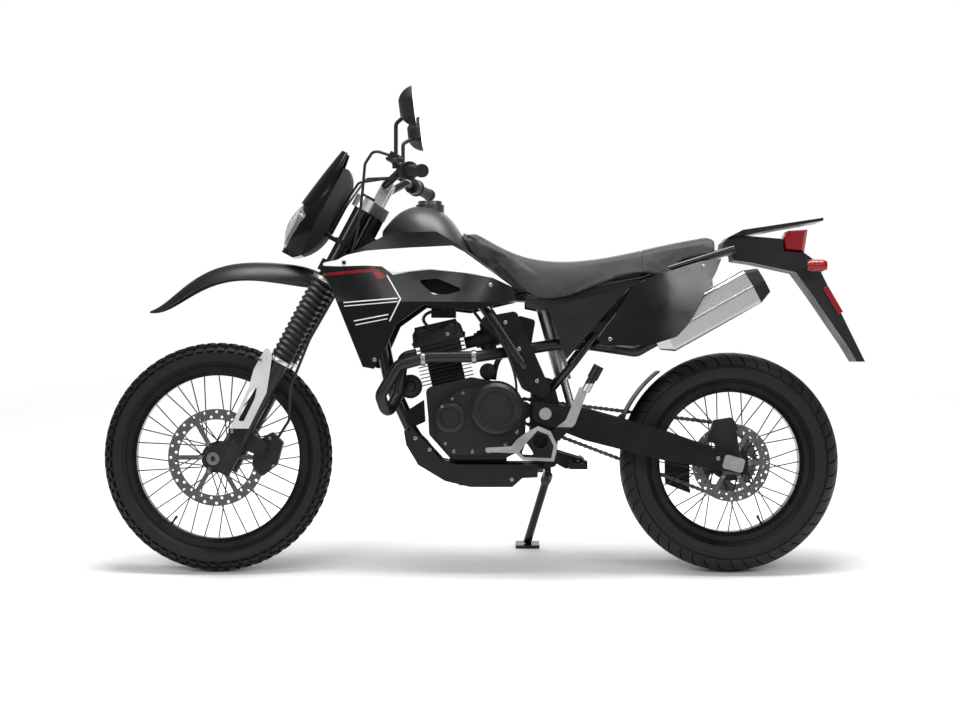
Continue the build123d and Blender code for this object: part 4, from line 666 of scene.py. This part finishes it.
def treaded_tyre(name, axle_x, axle_z, section, arc_middle, factors, steps, depth, is_block, sweep, body):
    """A tyre whose blocks is_block picks by slant and step, and whose rings of blocks are then turned by the sweep."""
    half = [Vector((axle_x, u, axle_z + r)) / 1000 for u, r in section]
    other = [Vector((axle_x, -u, axle_z + r)) / 1000 for u, r in reversed(section)]
    if half[-1].y < 1e-6:
        other = other[1:]
    axle = Vector((axle_x, 0, axle_z)) / 1000
    count = 1
    for factor in factors:
        count *= factor
    pitch = 2 * pi / count
    obj = draw_line(name, half + other, close=True)
    bpy.ops.mesh.spin(steps=steps, angle=pitch, center=axle, axis=(0, 1, 0))
    take_all()
    bpy.ops.mesh.normals_make_consistent(inside=False)

    def chosen(place, normal):
        out = place - axle
        radius = Vector((out.x, out.z)).length * 1000
        around = (atan2(out.x, out.z) % (2 * pi)) / pitch
        slant = atan2(out.y * 1000, radius - arc_middle)
        return radius > arc_middle and is_block(slant * 180 / pi, int((around % 1) * steps))

    pick(obj, "FACE", chosen)
    bpy.ops.mesh.extrude_region_shrink_fatten(TRANSFORM_OT_shrink_fatten={"value": depth / 1000})
    repeat_round(obj, axle, "Y", factors)
    edit(obj)
    take_all()
    bpy.ops.mesh.remove_doubles(threshold=0.00005)
    for low, high, turn in sweep:
        def ring(place, normal, low=low, high=high):
            out = place - axle
            radius = Vector((out.x, out.z)).length * 1000
            slant = abs(atan2(out.y * 1000, radius - arc_middle)) * 180 / pi
            return radius > arc_middle and low <= slant < high
        pick(obj, "VERT", ring)
        bpy.ops.transform.rotate(value=radians(turn), orient_axis="Y", center_override=axle)
    finish_piece(obj, "tyre_rubber", body, smooth=32)
    return obj


FRONT_EDGES = (62, 58, 50, 42, 36, 30, 23, 16, 11, 5.5, 0)
REAR_EDGES = (64, 58, 48, 38, 28, 18, 10, 3, 0)


def front_block(slant, step):
    """Whether a face of the front tread's pitch is raised, by its slant from the middle and its step along."""
    slant = abs(slant)
    if 42 < slant < 58:
        return step in (0, 1, 2, 3)
    if 16 < slant < 36:
        return step in (2, 3, 4, 5)
    return slant < 11 and step in (0, 1, 2, 3)


def rear_block(slant, step):
    """The same for the rear tread, whose blocks are long and swept."""
    slant = abs(slant)
    return 3 < slant < 58 and step > 0


front_section = tyre_section(26.7, 46, 246.6, 258, 324, 47.36, 6, FRONT_EDGES)
front_tread = treaded_tyre(
    "front_tread", *FRONT_AXLE, front_section, 324 - 47.36, (2, 2, 2, 2, 2, 2), 6, 6, front_block, [], "front_wheel"
)
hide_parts("front_tyre")
REAR_ARC = (25**2 + 56**2) / 50
rear_section = tyre_section(38.7, 62, 213.6, 225, 310, REAR_ARC, 5, REAR_EDGES)
REAR_SWEEP = [(0, 6, 7.0), (6, 14, 6.0), (14, 23, 4.6), (23, 33, 3.0), (33, 43, 1.5), (43, 53, 0.5)]
rear_tread = treaded_tyre(
    "rear_tread", *REAR_AXLE, rear_section, 310 - REAR_ARC, (3, 2, 2, 2, 2), 8, 5, rear_block, REAR_SWEEP, "rear_wheel"
)
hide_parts("rear_tyre")


# Chain: one pair of links is modelled, copied along the loop and joined

CHAIN_PITCH = 0.015875
CHAIN_SIDE = 0.075
FRONT_SPROCKET = Vector((0.116, CHAIN_SIDE, 0.454))
REAR_SPROCKET = Vector((REAR_AXLE[0] / 1000, CHAIN_SIDE, REAR_AXLE[1] / 1000))
FRONT_RADIUS = 0.033
REAR_RADIUS = 0.104


def link_plate(name, half_gap, thickness):
    """Two waisted side plates of one link, drawn round two pins a pitch apart."""
    obj = start_piece(name, bpy.ops.mesh.primitive_grid_add, x_subdivisions=4, y_subdivisions=1, size=1)
    bpy.ops.transform.resize(value=(CHAIN_PITCH + 0.010, 0.012, 1))
    pick(obj, "VERT", lambda place, normal: abs(place.x) < 0.001)
    bpy.ops.transform.resize(value=(1, 0.62, 1), center_override=(0, 0, 0))
    pick(obj, "VERT", lambda place, normal: abs(place.x) > CHAIN_PITCH / 2 + 0.003)
    bpy.ops.transform.resize(value=(1, 0.5, 1), center_override=(0, 0, 0))
    take_all()
    bpy.ops.transform.rotate(value=pi / 2, orient_axis="X", center_override=(0, 0, 0))
    bpy.ops.transform.translate(value=(0, half_gap, 0))
    pull((0, thickness, 0))
    take_all()
    bpy.ops.mesh.duplicate()
    bpy.ops.transform.translate(value=(0, -2 * half_gap - thickness, 0))
    return obj


def chain_roller(name, radius, length):
    """A roller, with its pin's heads standing out of its ends."""
    cylinder = bpy.ops.mesh.primitive_cylinder_add
    obj = start_piece(name, cylinder, vertices=8, radius=radius, depth=length, rotation=(pi / 2, 0, 0))
    pick(obj, "FACE", lambda place, normal: abs(normal.y) > 0.9)
    bpy.ops.mesh.inset(thickness=radius * 0.35)
    for side in (-1, 1):
        def pin_end(place, normal):
            return normal.y * side > 0.9 and Vector((place.x, place.z)).length < radius * 0.2
        pick(obj, "FACE", pin_end)
        pull((0, side * 0.0035, 0))
    return obj


def round_sprocket(middle, radius, angle):
    return middle + Vector((cos(angle), 0, sin(angle))) * radius


def chain_places():
    """Each pin's place along the loop: the upper run, the rear arc, the lower run and the front arc."""
    step = REAR_SPROCKET - FRONT_SPROCKET
    tilt = atan2(step.z, step.x)
    spread = asin((REAR_RADIUS - FRONT_RADIUS) / step.length)
    top, low = tilt + pi / 2 + spread, tilt - pi / 2 - spread
    run = step.length * cos(spread)
    rear_arc, front_arc = REAR_RADIUS * (top - low), FRONT_RADIUS * (2 * pi - top + low)
    whole = 2 * run + rear_arc + front_arc
    count = 2 * round(whole / CHAIN_PITCH / 2)
    places = []
    for number in range(count):
        along = whole * number / count
        if along < run:
            place = round_sprocket(FRONT_SPROCKET, FRONT_RADIUS, top)
            place += Vector((cos(top - pi / 2), 0, sin(top - pi / 2))) * along
        elif along < run + rear_arc:
            place = round_sprocket(REAR_SPROCKET, REAR_RADIUS, top - (along - run) / REAR_RADIUS)
        elif along < 2 * run + rear_arc:
            place = round_sprocket(REAR_SPROCKET, REAR_RADIUS, low)
            place += Vector((cos(low - pi / 2), 0, sin(low - pi / 2))) * (along - run - rear_arc)
        else:
            place = round_sprocket(FRONT_SPROCKET, FRONT_RADIUS, low - (along - 2 * run - rear_arc) / FRONT_RADIUS)
        places.append(place)
    return places


def make_chain():
    outer = link_plate("outer_link", 0.0052, 0.0014)
    inner = link_plate("inner_link", 0.0035, 0.0014)
    roller = chain_roller("roller", 0.0045, 0.0064)
    places = chain_places()
    laid = []
    for number, place in enumerate(places):
        following = places[(number + 1) % len(places)]
        run = following - place
        turn = Matrix.Rotation(-atan2(run.z, run.x), 4, "Y")
        for model, spot in ((outer if number % 2 else inner, (place + following) / 2), (roller, place)):
            laid.append(lay(model, Matrix.Translation(spot) @ turn))
    discard((outer, inner, roller))
    links = join(laid)
    links.name = "drive_links"
    apply_place()
    finish_piece(links, "chain_steel", "chassis", smooth=25)
    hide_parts("chain")


make_chain()


# Seat: the pad's mesh, drawn in a little, remeshed, filled by a short cloth run and smoothed, with its seams pressed in

NOSE_OUTLINE = [(-58, 951), (-36, 908), (-14, 880), (28, 842), (84, 798), (140, 775), (150, 830), (60, 898), (0, 936)]


def seat_nose():
    """The foam in the pad's nose down to the tank: its side outline, filled, drawn out and narrowed forwards."""
    nose = draw_line("seat_nose", [Vector((x, -0.5, z)) / 1000 for x, z in NOSE_OUTLINE], close=True)
    bpy.ops.mesh.edge_face_add()
    pull((0, 0.001, 0))
    for low, high, half in ((-70, -30, 50), (-30, 10, 64), (10, 50, 78), (50, 100, 90), (100, 200, 100)):
        pick(nose, "VERT", lambda place, normal: low <= place.x * 1000 < high)
        bpy.ops.transform.resize(value=(1, half / 0.5, 1), center_override=(0, 0, 0))
    take_all()
    bpy.ops.mesh.normals_make_consistent(inside=False)
    settle(nose, PARK)
    return nose


CLOTH_FRAMES = 20
MOST_FILL = 0.006


def make_seat():
    """The pad's copy with its nose, remeshed and filled by the cloth run, no corner moving further than the most."""
    only(frame["nodes"]["seat"])
    bpy.ops.object.duplicate()
    pad = bpy.context.object
    pad.name = "seat_pad"
    pad.parent = None
    edit(pad)
    take_all()
    bpy.ops.mesh.remove_doubles(threshold=0.00002)
    bpy.ops.mesh.normals_make_consistent(inside=False)
    bpy.ops.transform.shrink_fatten(value=-0.0035)
    join([pad, seat_nose()])
    pad.data.remesh_voxel_size = 0.006
    bpy.ops.object.voxel_remesh()
    before = [corner.co.copy() for corner in pad.data.vertices]
    bpy.ops.object.modifier_add(type="CLOTH")
    cloth = pad.modifiers[-1]
    cloth.settings.use_pressure = True
    cloth.settings.uniform_pressure_force = 4
    cloth.settings.effector_weights.gravity = 0
    cloth.point_cache.frame_start = 1
    cloth.point_cache.frame_end = CLOTH_FRAMES
    for number in range(1, CLOTH_FRAMES + 1):
        scene.frame_set(number)
    bpy.ops.object.modifier_apply(modifier=cloth.name)
    scene.frame_set(1)
    for corner, start in zip(pad.data.vertices, before):
        move = corner.co - start
        if move.length > MOST_FILL:
            corner.co = start + move.normalized() * MOST_FILL
    modify(pad, "SMOOTH", iterations=6)
    modify(pad, "SUBSURF", levels=1, render_levels=1)
    return pad


SEAT_SEAM_X = 0.448


def seam_groove(pad, test, depth):
    """Presses a sewn line into the pad."""
    upright = PARK.inverted()
    edit(pad)
    pick(pad, "VERT", lambda place, normal: test(upright @ place))
    bpy.ops.transform.shrink_fatten(value=-depth)
    clear_selection()


seat_pad = make_seat()
seam_groove(seat_pad, lambda place: abs(place.x - SEAT_SEAM_X) < 0.0026 and place.z > 0.8, 0.0022)
finish_piece(seat_pad, "seat_cover", "chassis", smooth=60, lean=False)
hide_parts("seat")


# Fittings: bolts, clamps, lamp parts, hoses and what is fixed to the engine

def upright_side(node, x, z, side):
    """The point where a line along the bike's width first meets one of the solids, and the face's normal there."""
    solid = frame["nodes"][node]
    into = solid.matrix_world.inverted() @ PARK
    start = into @ Vector((x / 1000, side * 0.6, z / 1000))
    stop = into @ Vector((x / 1000, 0, z / 1000))
    hit, place, normal, face = solid.ray_cast(start, (stop - start).normalized())
    out = into.inverted()
    return out @ place, (out.to_3x3() @ normal).normalized()


def bolt_model(name, radius, height, sides=12):
    """A bolt's head with a rounded rim and a socket, standing on its own middle."""
    cylinder = bpy.ops.mesh.primitive_cylinder_add
    bolt = start_piece(name, cylinder, vertices=sides, radius=radius, depth=height * 2)
    pick(bolt, "FACE", lambda place, normal: normal.z > 0.9)
    bpy.ops.mesh.inset(thickness=radius * 0.22, depth=height * 0.25)
    bpy.ops.mesh.inset(thickness=radius * 0.28)
    bpy.ops.mesh.inset(thickness=radius * 0.04, depth=-height * 0.7)
    return bolt


def copy_to(model, name, spots):
    """Copies a model to each spot, turned so that it stands along the spot's direction, and joins the copies."""
    laid = []
    for place, direction in spots:
        turn = Vector(direction).to_track_quat("Z", "Y").to_matrix().to_4x4()
        laid.append(lay(model, Matrix.Translation(place) @ turn))
    discard([model])
    joined = join(laid)
    joined.name = name
    apply_place()
    return joined


def bolts_on(name, rows, radius, height, finish, body):
    """Bolts seated on the sides of solids: each row is the solid, the place on the side view and the side."""
    spots = [upright_side(node, x, z, side) for node, x, z, side in rows]
    finish_piece(copy_to(bolt_model(name + "_model", radius, height), name, spots), finish, body, smooth=40)


COVER_BOLTS = [
    (-114, 468), (-86, 490), (-56, 507), (94, 398), (62, 364), (24, 345), (-30, 343), (-82, 344), (-106, 366),
]
FAR_COVER_BOLTS = [(-108, 462), (-52, 502), (30, 502), (56, 410), (4, 356), (-84, 356), (-114, 402)]
BODY_BOLTS = [
    ("main_frame", 62, 704), ("main_frame", 100, 630), ("main_frame", 150, 540), ("shrouds", -300, 600),
    ("shrouds", 20, 806), ("tail_panels", 610, 858), ("tail_panels", 352, 656), ("skid_plate", -190, 380),
    ("skid_plate", -150, 348), ("skid_plate", 80, 264), ("swingarm", 655, 325), ("cylinder_head", -100, 672),
]
rows = [("engine_covers", x, z, NEAR) for x, z in COVER_BOLTS]
bolts_on("cover_bolts", rows, 0.0048, 0.004, "bolt_steel", "chassis")
rows = [("engine_covers", x, z, FAR) for x, z in FAR_COVER_BOLTS]
bolts_on("far_cover_bolts", rows, 0.0048, 0.004, "bolt_steel", "chassis")
rows = [(node, x, z, side) for node, x, z in BODY_BOLTS for side in (NEAR, FAR)]
bolts_on("body_bolts", rows, 0.0056, 0.004, "bolt_steel", "chassis")
rows = [("shrouds", -385, 868, side) for side in (NEAR, FAR)]
bolts_on("band_bolts", rows, 0.0056, 0.004, "frame_black", "chassis")
rows = [("fork_guards", x, z, side) for x, z in ((-700, 400), (-620, 600)) for side in (NEAR, FAR)]
rows += [("front_caliper", -600, 380, NEAR), ("front_caliper", -590, 300, NEAR)]
bolts_on("fork_bolts", rows, 0.0052, 0.004, "bolt_steel", "steering")
DISC_BOLT_RADIUS = 44
for wheel, axle_x, axle_z in (("front", *FRONT_AXLE), ("rear", *REAR_AXLE)):
    rows = []
    for turn in (number * pi / 3 for number in range(6)):
        place = axle_x + DISC_BOLT_RADIUS * cos(turn), axle_z + DISC_BOLT_RADIUS * sin(turn)
        rows.append((wheel + "_disc", *place, NEAR))
    bolts_on(wheel + "_disc_bolts", rows, 0.005, 0.003, "bolt_steel", wheel + "_wheel")


STEERING_FOOT = (-690.3, 290.9)
STEERING_SLANT, STEERING_RISE = 0.4726, 0.8813
STEERING_UP = Vector((STEERING_SLANT, 0, STEERING_RISE))


def fork_place(back, side, height):
    """A place by the steering axis: how far behind it, how far to the side and how far up it."""
    x = STEERING_FOOT[0] + STEERING_RISE * back + STEERING_SLANT * height
    z = STEERING_FOOT[1] - STEERING_SLANT * back + STEERING_RISE * height
    return Vector((x, side, z)) / 1000


def ring_clamp(name, radius, height, wall):
    """A band clamp with a pair of screw lugs."""
    cylinder = bpy.ops.mesh.primitive_cylinder_add
    clamp = start_piece(name, cylinder, vertices=40, radius=radius, depth=height, end_fill_type="NOTHING")
    modify(clamp, "SOLIDIFY", thickness=wall, offset=1)
    edit(clamp)
    take_all()
    bpy.ops.mesh.normals_make_consistent(inside=False)
    pick(clamp, "FACE", lambda place, normal: place.x > radius * 0.97 and abs(place.y) > 0.002 and normal.x > 0.9)
    pull((0.007, 0, 0))
    modify(clamp, "BEVEL", width=wall * 0.3, segments=2)
    return clamp


spots = [(fork_place(-36, side, height), STEERING_UP) for side in (-95, 95) for height in (327, 586)]
gaiter_clamps = copy_to(ring_clamp("gaiter_clamp", 0.0325, 0.011, 0.002), "gaiter_clamps", spots)
finish_piece(gaiter_clamps, "fork_silver", "steering")
header_spots = []
for x, z in ((-168, 606), (-24, 608.5)):
    place, normal = upright_side("exhaust_header", x, z, NEAR)
    header_spots.append((place - normal * 0.0155, (1, 0, 0.045)))
header_clamps = copy_to(ring_clamp("header_clamp", 0.0165, 0.012, 0.0022), "header_clamps", header_spots)
finish_piece(header_clamps, "bolt_steel", "chassis")


def lamp_bowl():
    """The headlamp's reflector: a bowl behind the lens, drawn in towards the bulb in three steps."""
    outline = [(-30, 612), (-68, 668), (-84, 720), (-36, 742), (36, 742), (84, 720), (68, 668), (30, 612)]
    middle = (0, 684)
    rim = [fork_place(-188, side * 0.88, middle[1] + (height - middle[1]) * 0.88) for side, height in outline]
    bowl = draw_line("lamp_bowl", rim, close=True)
    bpy.ops.mesh.edge_face_add()
    inwards = fork_place(1, 0, 0) - fork_place(0, 0, 0)
    centre = fork_place(-188, *middle)
    for step, scale in ((14, 0.86), (12, 0.72), (7, 0.45)):
        pull(inwards * step)
        centre = centre + inwards * step
        bpy.ops.transform.resize(value=(scale, scale, scale), center_override=centre)
    modify(bowl, "SOLIDIFY", thickness=0.0015)
    finish_piece(bowl, "lamp_chrome", "steering", smooth=20)


def lamp_bulb():
    """The bulb, drawn in at its tip."""
    bulb = start_piece("bulb_model", bpy.ops.mesh.primitive_cylinder_add, vertices=24, radius=0.008, depth=0.022)
    pick(bulb, "FACE", lambda place, normal: normal.z > 0.9)
    for rise, scale in ((0.004, 0.85), (0.003, 0.6)):
        pull((0, 0, rise))
        bpy.ops.transform.resize(value=(scale, scale, 1))
    forwards = fork_place(-1, 0, 0) - fork_place(0, 0, 0)
    finish_piece(copy_to(bulb, "lamp_bulb", [(fork_place(-166, 0, 684), forwards)]), "silver_alloy", "steering")


lamp_bowl()
lamp_bulb()


def reflector_strip(name, side):
    """A red reflector on the side of the plate carrier, with a raised rim and a sunk field."""
    strip = start_piece(name, bpy.ops.mesh.primitive_cube_add, size=1)
    bpy.ops.transform.resize(value=(0.015, 0.006, 0.086))
    pick(strip, "FACE", lambda place, normal: normal.y * side > 0.9)
    bpy.ops.mesh.inset(thickness=0.0018, depth=0.0012)
    bpy.ops.mesh.inset(thickness=0.0012, depth=-0.0008)
    settle(strip, Matrix.Translation((0.984, side * 0.0635, 0.768)) @ Matrix.Rotation(radians(149.7), 4, "Y"))
    finish_piece(strip, "red_lens", "chassis")


reflector_strip("near_reflector", NEAR)
reflector_strip("far_reflector", FAR)


def valve_model(name):
    """A tyre valve with a stepped cap."""
    valve = start_piece(name, bpy.ops.mesh.primitive_cylinder_add, vertices=12, radius=0.0042, depth=0.016)
    pick(valve, "FACE", lambda place, normal: normal.z > 0.9)
    for rise, scale in ((0, 0.72), (0.012, 1), (0, 1.3), (0.009, 1), (0.001, 0.7)):
        pull((0, 0, rise))
        bpy.ops.transform.resize(value=(scale, scale, 1))
    return valve


for wheel, (axle_x, axle_z), rim_radius, turn in (("front", FRONT_AXLE, 236, 4.1), ("rear", REAR_AXLE, 203, 5.2)):
    inwards = Vector((-cos(turn), 0, -sin(turn)))
    foot = Vector((axle_x, 0, axle_z)) / 1000 - inwards * rim_radius / 1000
    valve = copy_to(valve_model("valve_model"), wheel + "_valve", [(foot, inwards)])
    finish_piece(valve, "gaiter_rubber", wheel + "_wheel")

adjuster_spots = [((0.738, side * 0.104, 0.31), (1, 0, 0)) for side in (NEAR, FAR)]
adjusters = copy_to(bolt_model("adjuster_model", 0.0075, 0.008, sides=6), "chain_adjusters", adjuster_spots)
finish_piece(adjusters, "bolt_steel", "chassis")


def hose(name, points, radius, finish, body):
    """A held hose or cable, laid as one smooth curve through its turns and made a mesh."""
    clear_selection()
    bpy.ops.curve.primitive_nurbs_path_add()
    line = bpy.context.object
    line.name = name
    spline = line.data.splines[0]
    spline.points.add(max(0, len(points) - len(spline.points)))
    for control, place in zip(spline.points, points):
        control.co = (place[0] / 1000, place[1] / 1000, place[2] / 1000, 1)
    spline.order_u = 3
    spline.use_endpoint_u = True
    line.data.bevel_depth = radius
    line.data.bevel_resolution = 3
    line.data.use_fill_caps = True
    bpy.ops.object.convert(target="MESH")
    finish_piece(bpy.context.object, finish, body, smooth=60)


# Name, radius in metres, and the turns it is laid through in millimetres
HOSES = (
    ("breather_hose", 0.008, [(30, -24, 545), (34, -40, 590), (60, -52, 620), (96, -50, 640), (110, -36, 650)]),
    ("fuel_hose", 0.0045, [(-60, -60, 830), (-52, -66, 780), (-30, -58, 740), (-8, -44, 712), (6, -30, 690)]),
    ("plug_lead", 0.0045, [(-112, -30, 738), (-150, -48, 738), (-172, -72, 716), (-158, -76, 694), (-138, -56, 682)]),
    ("clutch_cable", 0.0035, [(92, -100, 500), (96, -126, 540), (60, -124, 640), (10, -118, 720), (-40, -100, 800)]),
)
for name, radius, points in HOSES:
    hose(name, points, radius, "gaiter_rubber", "chassis")


def starter_motor():
    """The starter motor on the crankcase behind the cylinder: a can with stepped ends."""
    cylinder = bpy.ops.mesh.primitive_cylinder_add
    size = {"vertices": 32, "radius": 0.024, "depth": 0.084}
    motor = start_piece("starter_motor", cylinder, **size, location=(0.014, 0, 0.566), rotation=(pi / 2, 0, 0))
    for side, steps in ((NEAR, ((0.003, 0.9), (0.009, 0.96), (0.002, 0.8))), (FAR, ((0.004, 0.72), (0.016, 0.9)))):
        pick(motor, "FACE", lambda place, normal: normal.y * side > 0.9)
        for rise, scale in steps:
            pull((0, side * rise, 0))
            bpy.ops.transform.resize(value=(scale, 1, scale))
    finish_piece(motor, "engine_dark", "chassis")


def horn():
    """The horn in front of the engine: a can with a dished, stepped face and a stud behind."""
    cylinder = bpy.ops.mesh.primitive_cylinder_add
    size = {"vertices": 36, "radius": 0.034, "depth": 0.02}
    can = start_piece("horn", cylinder, **size, location=(-0.206, -0.026, 0.524), rotation=(pi / 2, 0, 0))
    pick(can, "FACE", lambda place, normal: normal.y < -0.9)
    for thickness, depth in ((0.004, 0.0), (0.002, -0.003), (0.012, 0.002), (0.004, 0.005), (0.003, 0.001)):
        bpy.ops.mesh.inset(thickness=thickness, depth=depth)
    pick(can, "FACE", lambda place, normal: normal.y > 0.9)
    for thickness, depth in ((0.012, 0.006), (0.008, 0.012)):
        bpy.ops.mesh.inset(thickness=thickness, depth=depth)
    finish_piece(can, "engine_dark", "chassis")


def ignition_coil():
    """The coil above the cylinder head: a block with ribbed sides."""
    coil = start_piece("ignition_coil", bpy.ops.mesh.primitive_cube_add, size=1, location=(-0.112, 0, 0.736))
    bpy.ops.transform.resize(value=(0.07, 0.062, 0.034))
    bpy.ops.mesh.subdivide(number_cuts=6)
    pick(coil, "FACE", lambda place, normal: abs(normal.y) > 0.9 and int((place.x + 0.259) / 0.01) % 2 == 0)
    bpy.ops.mesh.extrude_region_shrink_fatten(TRANSFORM_OT_shrink_fatten={"value": 0.004})
    finish_piece(coil, "matte_black", "chassis")


starter_motor()
horn()
ignition_coil()


BARREL_TILT = radians(13)
BARREL_PLACE = Matrix.Translation((-0.092, 0, 0.512)) @ Matrix.Rotation(-BARREL_TILT, 4, "Y")


def finned_barrel():
    """The finned cylinder, drawn up its bore: each fin is a step out, a rise, a step in and a gap."""
    barrel = start_piece("finned_barrel", bpy.ops.mesh.primitive_plane_add, size=0.096, location=(0, 0, 0.024))
    bpy.ops.mesh.bevel(offset=0.014, segments=4, affect="VERTICES")
    take_all()

    def rise(height):
        pull((0, 0, height))

    def step(along, across):
        pull((0, 0, 0))
        bpy.ops.transform.resize(value=(along, across, 1), center_override=(0, 0, 0))

    rise(0.006)
    for number in range(7):
        step(1.56, 1.38)
        rise(0.0026)
        bpy.ops.transform.resize(value=(0.985, 0.985, 1), center_override=(0, 0, 0))
        step(1 / 1.56 / 0.985, 1 / 1.38 / 0.985)
        rise(0.00769)
    settle(barrel, BARREL_PLACE)
    finish_piece(barrel, "engine_dark", "chassis", smooth=40)
    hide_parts("cylinder")


finned_barrel()


def seat_lip(name, side):
    """The seat base's edge below the pad: a strip along the pad's underside, given its thickness."""
    line = [(120, 776), (160, 768), (200, 766), (240, 771), (280, 784), (320, 800), (360, 817), (400, 831), (440, 839)]
    lip = draw_line(name, [Vector((x, side * 106, z - 30)) / 1000 for x, z in line])
    pull((0, -side * 0.006, 0.024))
    pull((0, 0, 0.016))
    modify(lip, "SOLIDIFY", thickness=0.003)
    finish_piece(lip, "matte_black", "chassis")


seat_lip("near_seat_lip", NEAR)
seat_lip("far_seat_lip", FAR)


def rocker_cover():
    """The cover over the cams: a rounded block drawn up in narrowing steps over a lip."""
    cover = start_piece("rocker_cover", bpy.ops.mesh.primitive_plane_add, size=1, location=(0, 0, 0.149))
    bpy.ops.transform.resize(value=(0.154, 0.122, 1), center_override=(0, 0, 0))
    bpy.ops.mesh.bevel(offset=0.016, segments=4, affect="VERTICES")
    take_all()
    for rise, scale in ((0.006, 1), (0, 0.95), (0.022, 0.96), (0.012, 0.86), (0, 0.7), (0.007, 0.94)):
        pull((0, 0, rise))
        bpy.ops.transform.resize(value=(scale, scale, 1), center_override=(0, 0, 0))
    pick(cover, "FACE", lambda place, normal: place.z < 0.1495)
    pull((0, 0, -0.002))
    modify(cover, "BEVEL", width=0.0016, segments=2)
    settle(cover, BARREL_PLACE)
    finish_piece(cover, "engine_dark", "chassis", smooth=40)


rocker_cover()


# Floor, light and camera

def floor_finish():
    """Pale and plain near the bike, and white to the camera further out."""
    tree, shader = new_finish("studio_floor")
    set_values(shader, {"Base Color": (0.9, 0.9, 0.9, 1), "Roughness": 0.9, "Specular IOR Level": 0.0})
    ray = tree.add("LightPath")
    coord = tree.add("TexCoord")
    away = tree.add("VectorMath", {0: coord.outputs["Object"]}, operation="LENGTH")
    fade = tree.add("MapRange", {"Value": away.outputs["Value"]}, {"From Min": 1.4, "From Max": 3.2})
    white = tree.add("Emission", None, {"Color": (1, 1, 1, 1), "Strength": 1.0})
    seen = tree.math("MAXIMUM", ray.outputs["Is Camera Ray"], ray.outputs["Is Glossy Ray"])
    seen = tree.math("MAXIMUM", seen, ray.outputs["Is Transmission Ray"])
    share = tree.math("MULTIPLY", seen, fade.outputs[0])
    blend = tree.add("MixShader", {0: share, 1: shader.outputs[0], 2: white.outputs[0]})
    tree.link(blend.outputs[0], tree.tree.nodes["Material Output"], "Surface")


bpy.ops.object.select_all(action="DESELECT")
bpy.ops.mesh.primitive_plane_add(size=40, location=(0, 0, -0.0005))
floor = bpy.context.object
floor.name = "studio_floor"
floor_finish()
dress(floor, "studio_floor")

world = bpy.data.worlds.new("studio")
scene.world = world
world.use_nodes = True
sky = Tree(world.node_tree)
ray = sky.add("LightPath")
seen = sky.math("MAXIMUM", ray.outputs["Is Camera Ray"], ray.outputs["Is Transmission Ray"])
FILL = 0.24
level = sky.math("MULTIPLY_ADD", seen, 1 - FILL, FILL)
backdrop = world.node_tree.nodes["Background"]
world.node_tree.links.new(level, backdrop.inputs["Strength"])
backdrop.inputs["Color"].default_value = (1, 1, 1, 1)


def softbox(name, place, aim, width, height, watts):
    """A large soft area light that faces a point, both placed by the upright bike."""
    place, aim = PARK @ Vector(place), PARK @ Vector(aim)
    bpy.ops.object.select_all(action="DESELECT")
    bpy.ops.object.light_add(type="AREA", location=place)
    lamp = bpy.context.object
    lamp.name = name
    lamp.data.shape = "RECTANGLE"
    lamp.data.size = width
    lamp.data.size_y = height
    lamp.data.energy = watts
    lamp.rotation_euler = (aim - place).to_track_quat("-Z", "Y").to_euler()


softbox("top_light", (0.1, -0.4, 3.2), (0.1, 0, 0.5), 2.8, 1.2, 165)
softbox("front_light", (-2.4, -3.4, 2.4), (-0.2, 0, 0.6), 1.6, 2.0, 50)
softbox("rear_light", (2.8, -2.8, 2.0), (0.3, 0, 0.6), 1.4, 2.0, 36)
softbox("back_light", (0.4, 3.0, 2.2), (0, 0, 0.7), 3.0, 1.6, 36)
softbox("strip_light", (-0.2, -4.4, 2.7), (-0.1, 0, 0.8), 2.4, 0.35, 8)
softbox("side_light", (1.0, -4.6, 2.2), (0.5, 0, 0.75), 1.3, 0.5, 18)

bpy.ops.object.select_all(action="DESELECT")
bpy.ops.object.camera_add()
camera = bpy.context.object
camera.data.lens = 76.46
camera.data.sensor_width = 36
CAMERA_PLACE = (-0.0089, -5.8, 0.5989)
camera.matrix_world = PARK @ Matrix.Translation(CAMERA_PLACE) @ Matrix.Rotation(pi / 2, 4, "X")
scene.camera = camera
